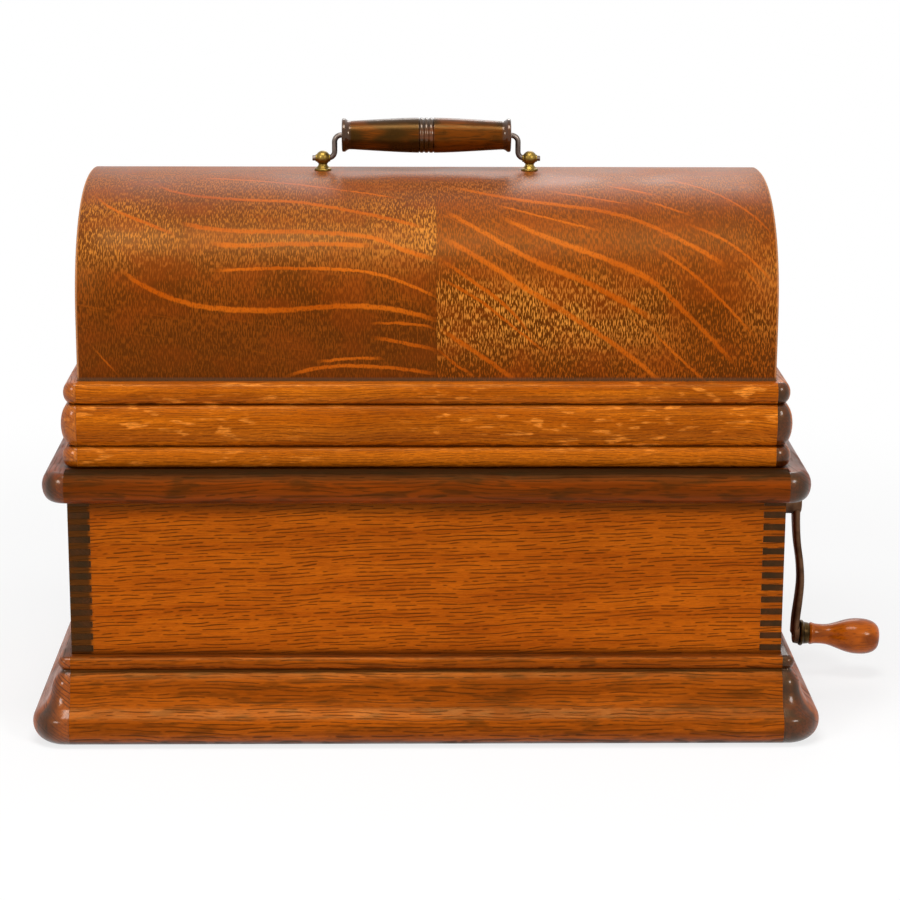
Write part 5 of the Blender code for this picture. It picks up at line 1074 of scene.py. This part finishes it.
BRASS = metal("aged_brass", (190, 154, 92), (116, 90, 48), 0.26, 0.5)
STEEL = metal("bright_steel", (176, 174, 170), (122, 117, 110), 0.28, 0.4)
NICKEL = metal("nickel_plate", (200, 196, 188), (150, 144, 134), 0.18, 0.3, 0.004 * MM)
GUNMETAL = metal("gunmetal_wire", (116, 104, 96), (66, 54, 48), 0.34, 0.6)
IRON = metal("dark_iron", (88, 84, 80), (46, 42, 40), 0.42, 0.6)
BRONZED = metal("bronzed_arm", (98, 70, 50), (56, 36, 22), 0.38, 0.7)
FERRULE = metal("darkened_brass", (88, 66, 36), (36, 25, 12), 0.26, 0.9)
PATINA = metal("patinated_brass", (138, 112, 52), (78, 56, 16), 0.32, 0.6)

WORKS_FINISHES = (
    (BRASS, ("crank_bush", "spring_barrel", "great_gear")),
    (BRASS, ("governor_weights", "carriage_bush", "reproducer")),
    (STEEL, ("winding_shaft", "spring_arbor", "ratchet_pawl", "mainspring", "second_shaft")),
    (STEEL, ("drive_shaft", "governor_spindle", "speed_screw", "start_lever", "back_rod")),
    (STEEL, ("front_rail", "feed_screw", "reproducer_weight", "lift_lever")),
    (IRON, ("case_hinge_left", "case_hinge_right", "works_hinge_left", "works_hinge_right")),
    (IRON, ("governor_disc", "motor_frame_left", "motor_frame_right")),
    (japanned(), ("bedplate", "end_gate", "carriage_arm")),
    (NICKEL, ("mandrel",)),
    (leather(), ("belt",)),
)


# Screws, the feed screw's thread and the sound box's clamp ring

# Radius and height of the screw heads
HINGE_HEAD = (2.6 * MM, 0.7 * MM)
PLATE_HEAD = (4 * MM, 1.6 * MM)
RING_HEAD = (1.3 * MM, 0.7 * MM)
BEDPLATE_TOP = RIM_TOP + 5.8 * MM
# (x, y, turn of the slot) in millimetres and radians
BEDPLATE_SCREWS = (
    (-168, -70, 0.3), (-80, -72, 1.1), (75, -72, 2.0), (168, -70, 0.8),
    (-168, 70, 1.7), (-80, 72, 0.1), (75, 72, 2.6), (168, 70, 1.3),
)
SUNK = 0.1 * MM
HINGE_LEAF = 2 * MM
# (x from the middle, height from the foot, turn of the slot) of the screws in a hinge leaf
HINGE_SCREWS = ((-17, 11, -0.4), (0, 7, 0.5), (17, 11, 1.4))
SHAFT_MIDDLE = (0, -5 * MM, 205 * MM)
# (along, radius) of the mandrel shaft's plain parts and of its belt pulley, in millimetres
SHAFT_LEFT = ((-170, 3.5), (-169.5, 4), (-134, 4), (-134, 4.7), (-133.7, 5))
SHAFT_RIGHT = ((-10.3, 5), (-10, 4.7), (-10, 4), (128, 4), (132, 2))
SHAFT_PULLEY = (
    (-164, 29.6), (-163.6, 30), (-163.2, 30), (-162.8, 29.6), (-162.8, 28), (-157.2, 28),
    (-157.2, 29.6), (-156.8, 30), (-156.4, 30), (-156, 29.6),
)
THREAD_START = -133.2
THREAD_PITCH = 1.2
THREAD_TURNS = 102
THREAD_FOOT, THREAD_TOP = 4.6, 5
# (up, radius) round the clamp ring, in millimetres
RING_SECTION = ((-0.1, 14.4), (0.8, 14.4), (1.1, 14.7), (1.1, 18.3), (0.8, 18.6), (-0.1, 18.6))
RING_DROP = 9 * MM
RING_TOP = 1 * MM
RING_SCREWS_OUT = 16.5 * MM


def hinge_screws():
    shape = bmesh.new()
    for node in ("case_hinge_left", "case_hinge_right"):
        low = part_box(node)[0]
        for across, up, turn in HINGE_SCREWS:
            x, z = halfway(node, "x") + across * MM, low.z + up * MM
            face = (x, low.y + HINGE_LEAF - SUNK, z)
            screw_head(shape, face, (0, 1, 0), *HINGE_HEAD, turn)
    add("hinge_screws", shape, STEEL, "case")


def bedplate_screws():
    shape = bmesh.new()
    for x, y, turn in BEDPLATE_SCREWS:
        face = (x * MM, y * MM, BEDPLATE_TOP - SUNK)
        screw_head(shape, face, (0, 0, 1), *PLATE_HEAD, turn)
    add("bedplate_screws", shape, STEEL, "works")


def feed_screw_shaft():
    """The mandrel's shaft with its thread cut as fine ridges."""
    ridge = ((0, THREAD_FOOT), (0.45 * THREAD_PITCH, THREAD_TOP), (0.6 * THREAD_PITCH, THREAD_TOP))
    thread = []
    for turn in range(THREAD_TURNS):
        start = THREAD_START + THREAD_PITCH * turn
        thread += [(start + along, radius) for along, radius in ridge]
    shape = bmesh.new()
    turned(shape, in_mm([*SHAFT_LEFT, *thread, *SHAFT_RIGHT]), SHAFT_MIDDLE, sides=32)
    turned(shape, in_mm(SHAFT_PULLEY), SHAFT_MIDDLE, sides=96)
    add("feed_screw_shaft", shape, STEEL, "mandrel", ["feed_screw"])


def clamp_ring():
    """The ring that holds the diaphragm, with its four screws."""
    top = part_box("reproducer")[1].z
    middle = (halfway("reproducer", "x"), halfway("reproducer", "y"), top - RING_DROP)
    shape = turned(bmesh.new(), in_mm(RING_SECTION), middle, (0, 0, 1), 64, True)
    add("sound_box_ring", shape, NICKEL, "arm")
    shape = bmesh.new()
    for quarter in range(4):
        turn = pi * (0.25 + 0.5 * quarter)
        out = Vector((cos(turn), sin(turn), 0)) * RING_SCREWS_OUT
        face = Vector(middle) + out + Vector((0, 0, RING_TOP))
        screw_head(shape, face, (0, 0, 1), *RING_HEAD, turn)
    add("sound_box_screws", shape, STEEL, "arm")


# Room, lights and camera

FLOOR_SIZE = 6.0
FLOOR_GLOW = 0.75
WORLD_LIGHT = 0.2
LIT_PLACE = Vector((0, 0, 0.15))
# (place, width and depth, power) of each light
SOFTBOXES = {
    "overhead_box": ((-0.1, -0.5, 1.6), (0.9, 0.5), 16),
    "left_box": ((-1.3, -1.5, 1.15), (0.5, 0.5), 13.5),
    "right_box": ((1.2, -1.6, 1.15), (0.5, 0.5), 16),
    "back_box": ((0.3, 1.9, 1.5), (0.9, 0.5), 8),
}
# Where the camera stands, how far it looks down and to the right, and how far it leans
CAMERA_PLACE = (-16 * MM, -1561 * MM, 536 * MM)
CAMERA_DOWN = radians(14.03)
CAMERA_RIGHT = radians(1.13)
CAMERA_LEAN = radians(0.25)
CAMERA_LENS = 105.6


def pale_floor():
    """A pale matt surface that looks partly lit from within, so that it stays near white."""
    finish = Finish("pale_floor", 0.0)
    finish.set("Roughness", 0.9)
    grain = finish.lumps((3, 3, 3))
    finish.set("Base Color", finish.mix(grain, (246, 246, 246), (250, 250, 250)))
    away = (finish.x * finish.x + finish.y * finish.y).maths("SQRT")
    share = finish.looked_at() * away.ramp(0.3, 0.8, FLOOR_GLOW, 1.0)
    light = finish.node("ShaderNodeEmission", None, {"Color": WHITE, "Strength": 1.0}).outputs[0]
    inputs = {0: share, 1: finish.shader.outputs[0], 2: light}
    blend = finish.node("ShaderNodeMixShader", None, inputs).outputs[0]
    finish.join(finish.tree.nodes["Material Output"].inputs["Surface"], blend)
    return finish.material


def make_floor():
    shape = bmesh.new()
    bmesh.ops.create_grid(shape, x_segments=8, y_segments=8, size=FLOOR_SIZE)
    mesh_piece("floor", shape, pale_floor())


def make_world():
    """White where the camera looks, and a weak even light on everything else."""
    world = bpy.data.worlds.new("studio")
    bpy.context.scene.world = world
    world.use_nodes = True
    world.node_tree.nodes.clear()
    nodes = Nodes(world.node_tree)
    inputs = {0: nodes.looked_at()}
    for index, strength in ((1, WORLD_LIGHT), (2, 1.0)):
        light = {"Color": WHITE, "Strength": strength}
        inputs[index] = nodes.node("ShaderNodeBackground", None, light).outputs[0]
    blend = nodes.node("ShaderNodeMixShader", None, inputs).outputs[0]
    nodes.node("ShaderNodeOutputWorld", None, {"Surface": blend})


def make_lights():
    for name, (place, size, power) in SOFTBOXES.items():
        lamp = bpy.data.lights.new(name, "AREA")
        lamp.shape = "RECTANGLE"
        lamp.size, lamp.size_y = size
        lamp.energy = power
        holder = placed(name, lamp)
        holder.location = place
        aim = LIT_PLACE - Vector(place)
        holder.rotation_euler = aim.to_track_quat("-Z", "Y").to_euler()


def make_camera():
    flat = cos(CAMERA_DOWN)
    ahead = Vector((sin(CAMERA_RIGHT) * flat, cos(CAMERA_RIGHT) * flat, -sin(CAMERA_DOWN)))
    level = Vector((cos(CAMERA_RIGHT), -sin(CAMERA_RIGHT), 0))
    upright = level.cross(ahead)
    right = level * cos(CAMERA_LEAN) + upright * sin(CAMERA_LEAN)
    up = upright * cos(CAMERA_LEAN) - level * sin(CAMERA_LEAN)
    lens = bpy.data.cameras.new("camera")
    lens.lens = CAMERA_LENS
    camera = placed("camera", lens)
    turn = Matrix((right, up, -ahead)).transposed().to_4x4()
    camera.matrix_world = Matrix.Translation(CAMERA_PLACE) @ turn
    bpy.context.scene.camera = camera


def build():
    finish_boards()
    dress(WORKS_FINISHES, shade_round)
    hinge_screws()
    bedplate_screws()
    feed_screw_shaft()
    clamp_ring()
    grip(walnut())
    bail(GUNMETAL)
    ball_post("left", -1, PATINA)
    ball_post("right", 1, PATINA)
    crank_arm(BRONZED)
    crank_knob(varnished_knob(), FERRULE)
    make_floor()
    make_world()
    make_lights()
    make_camera()
    bpy.context.scene.view_settings.view_transform = "Standard"


build()
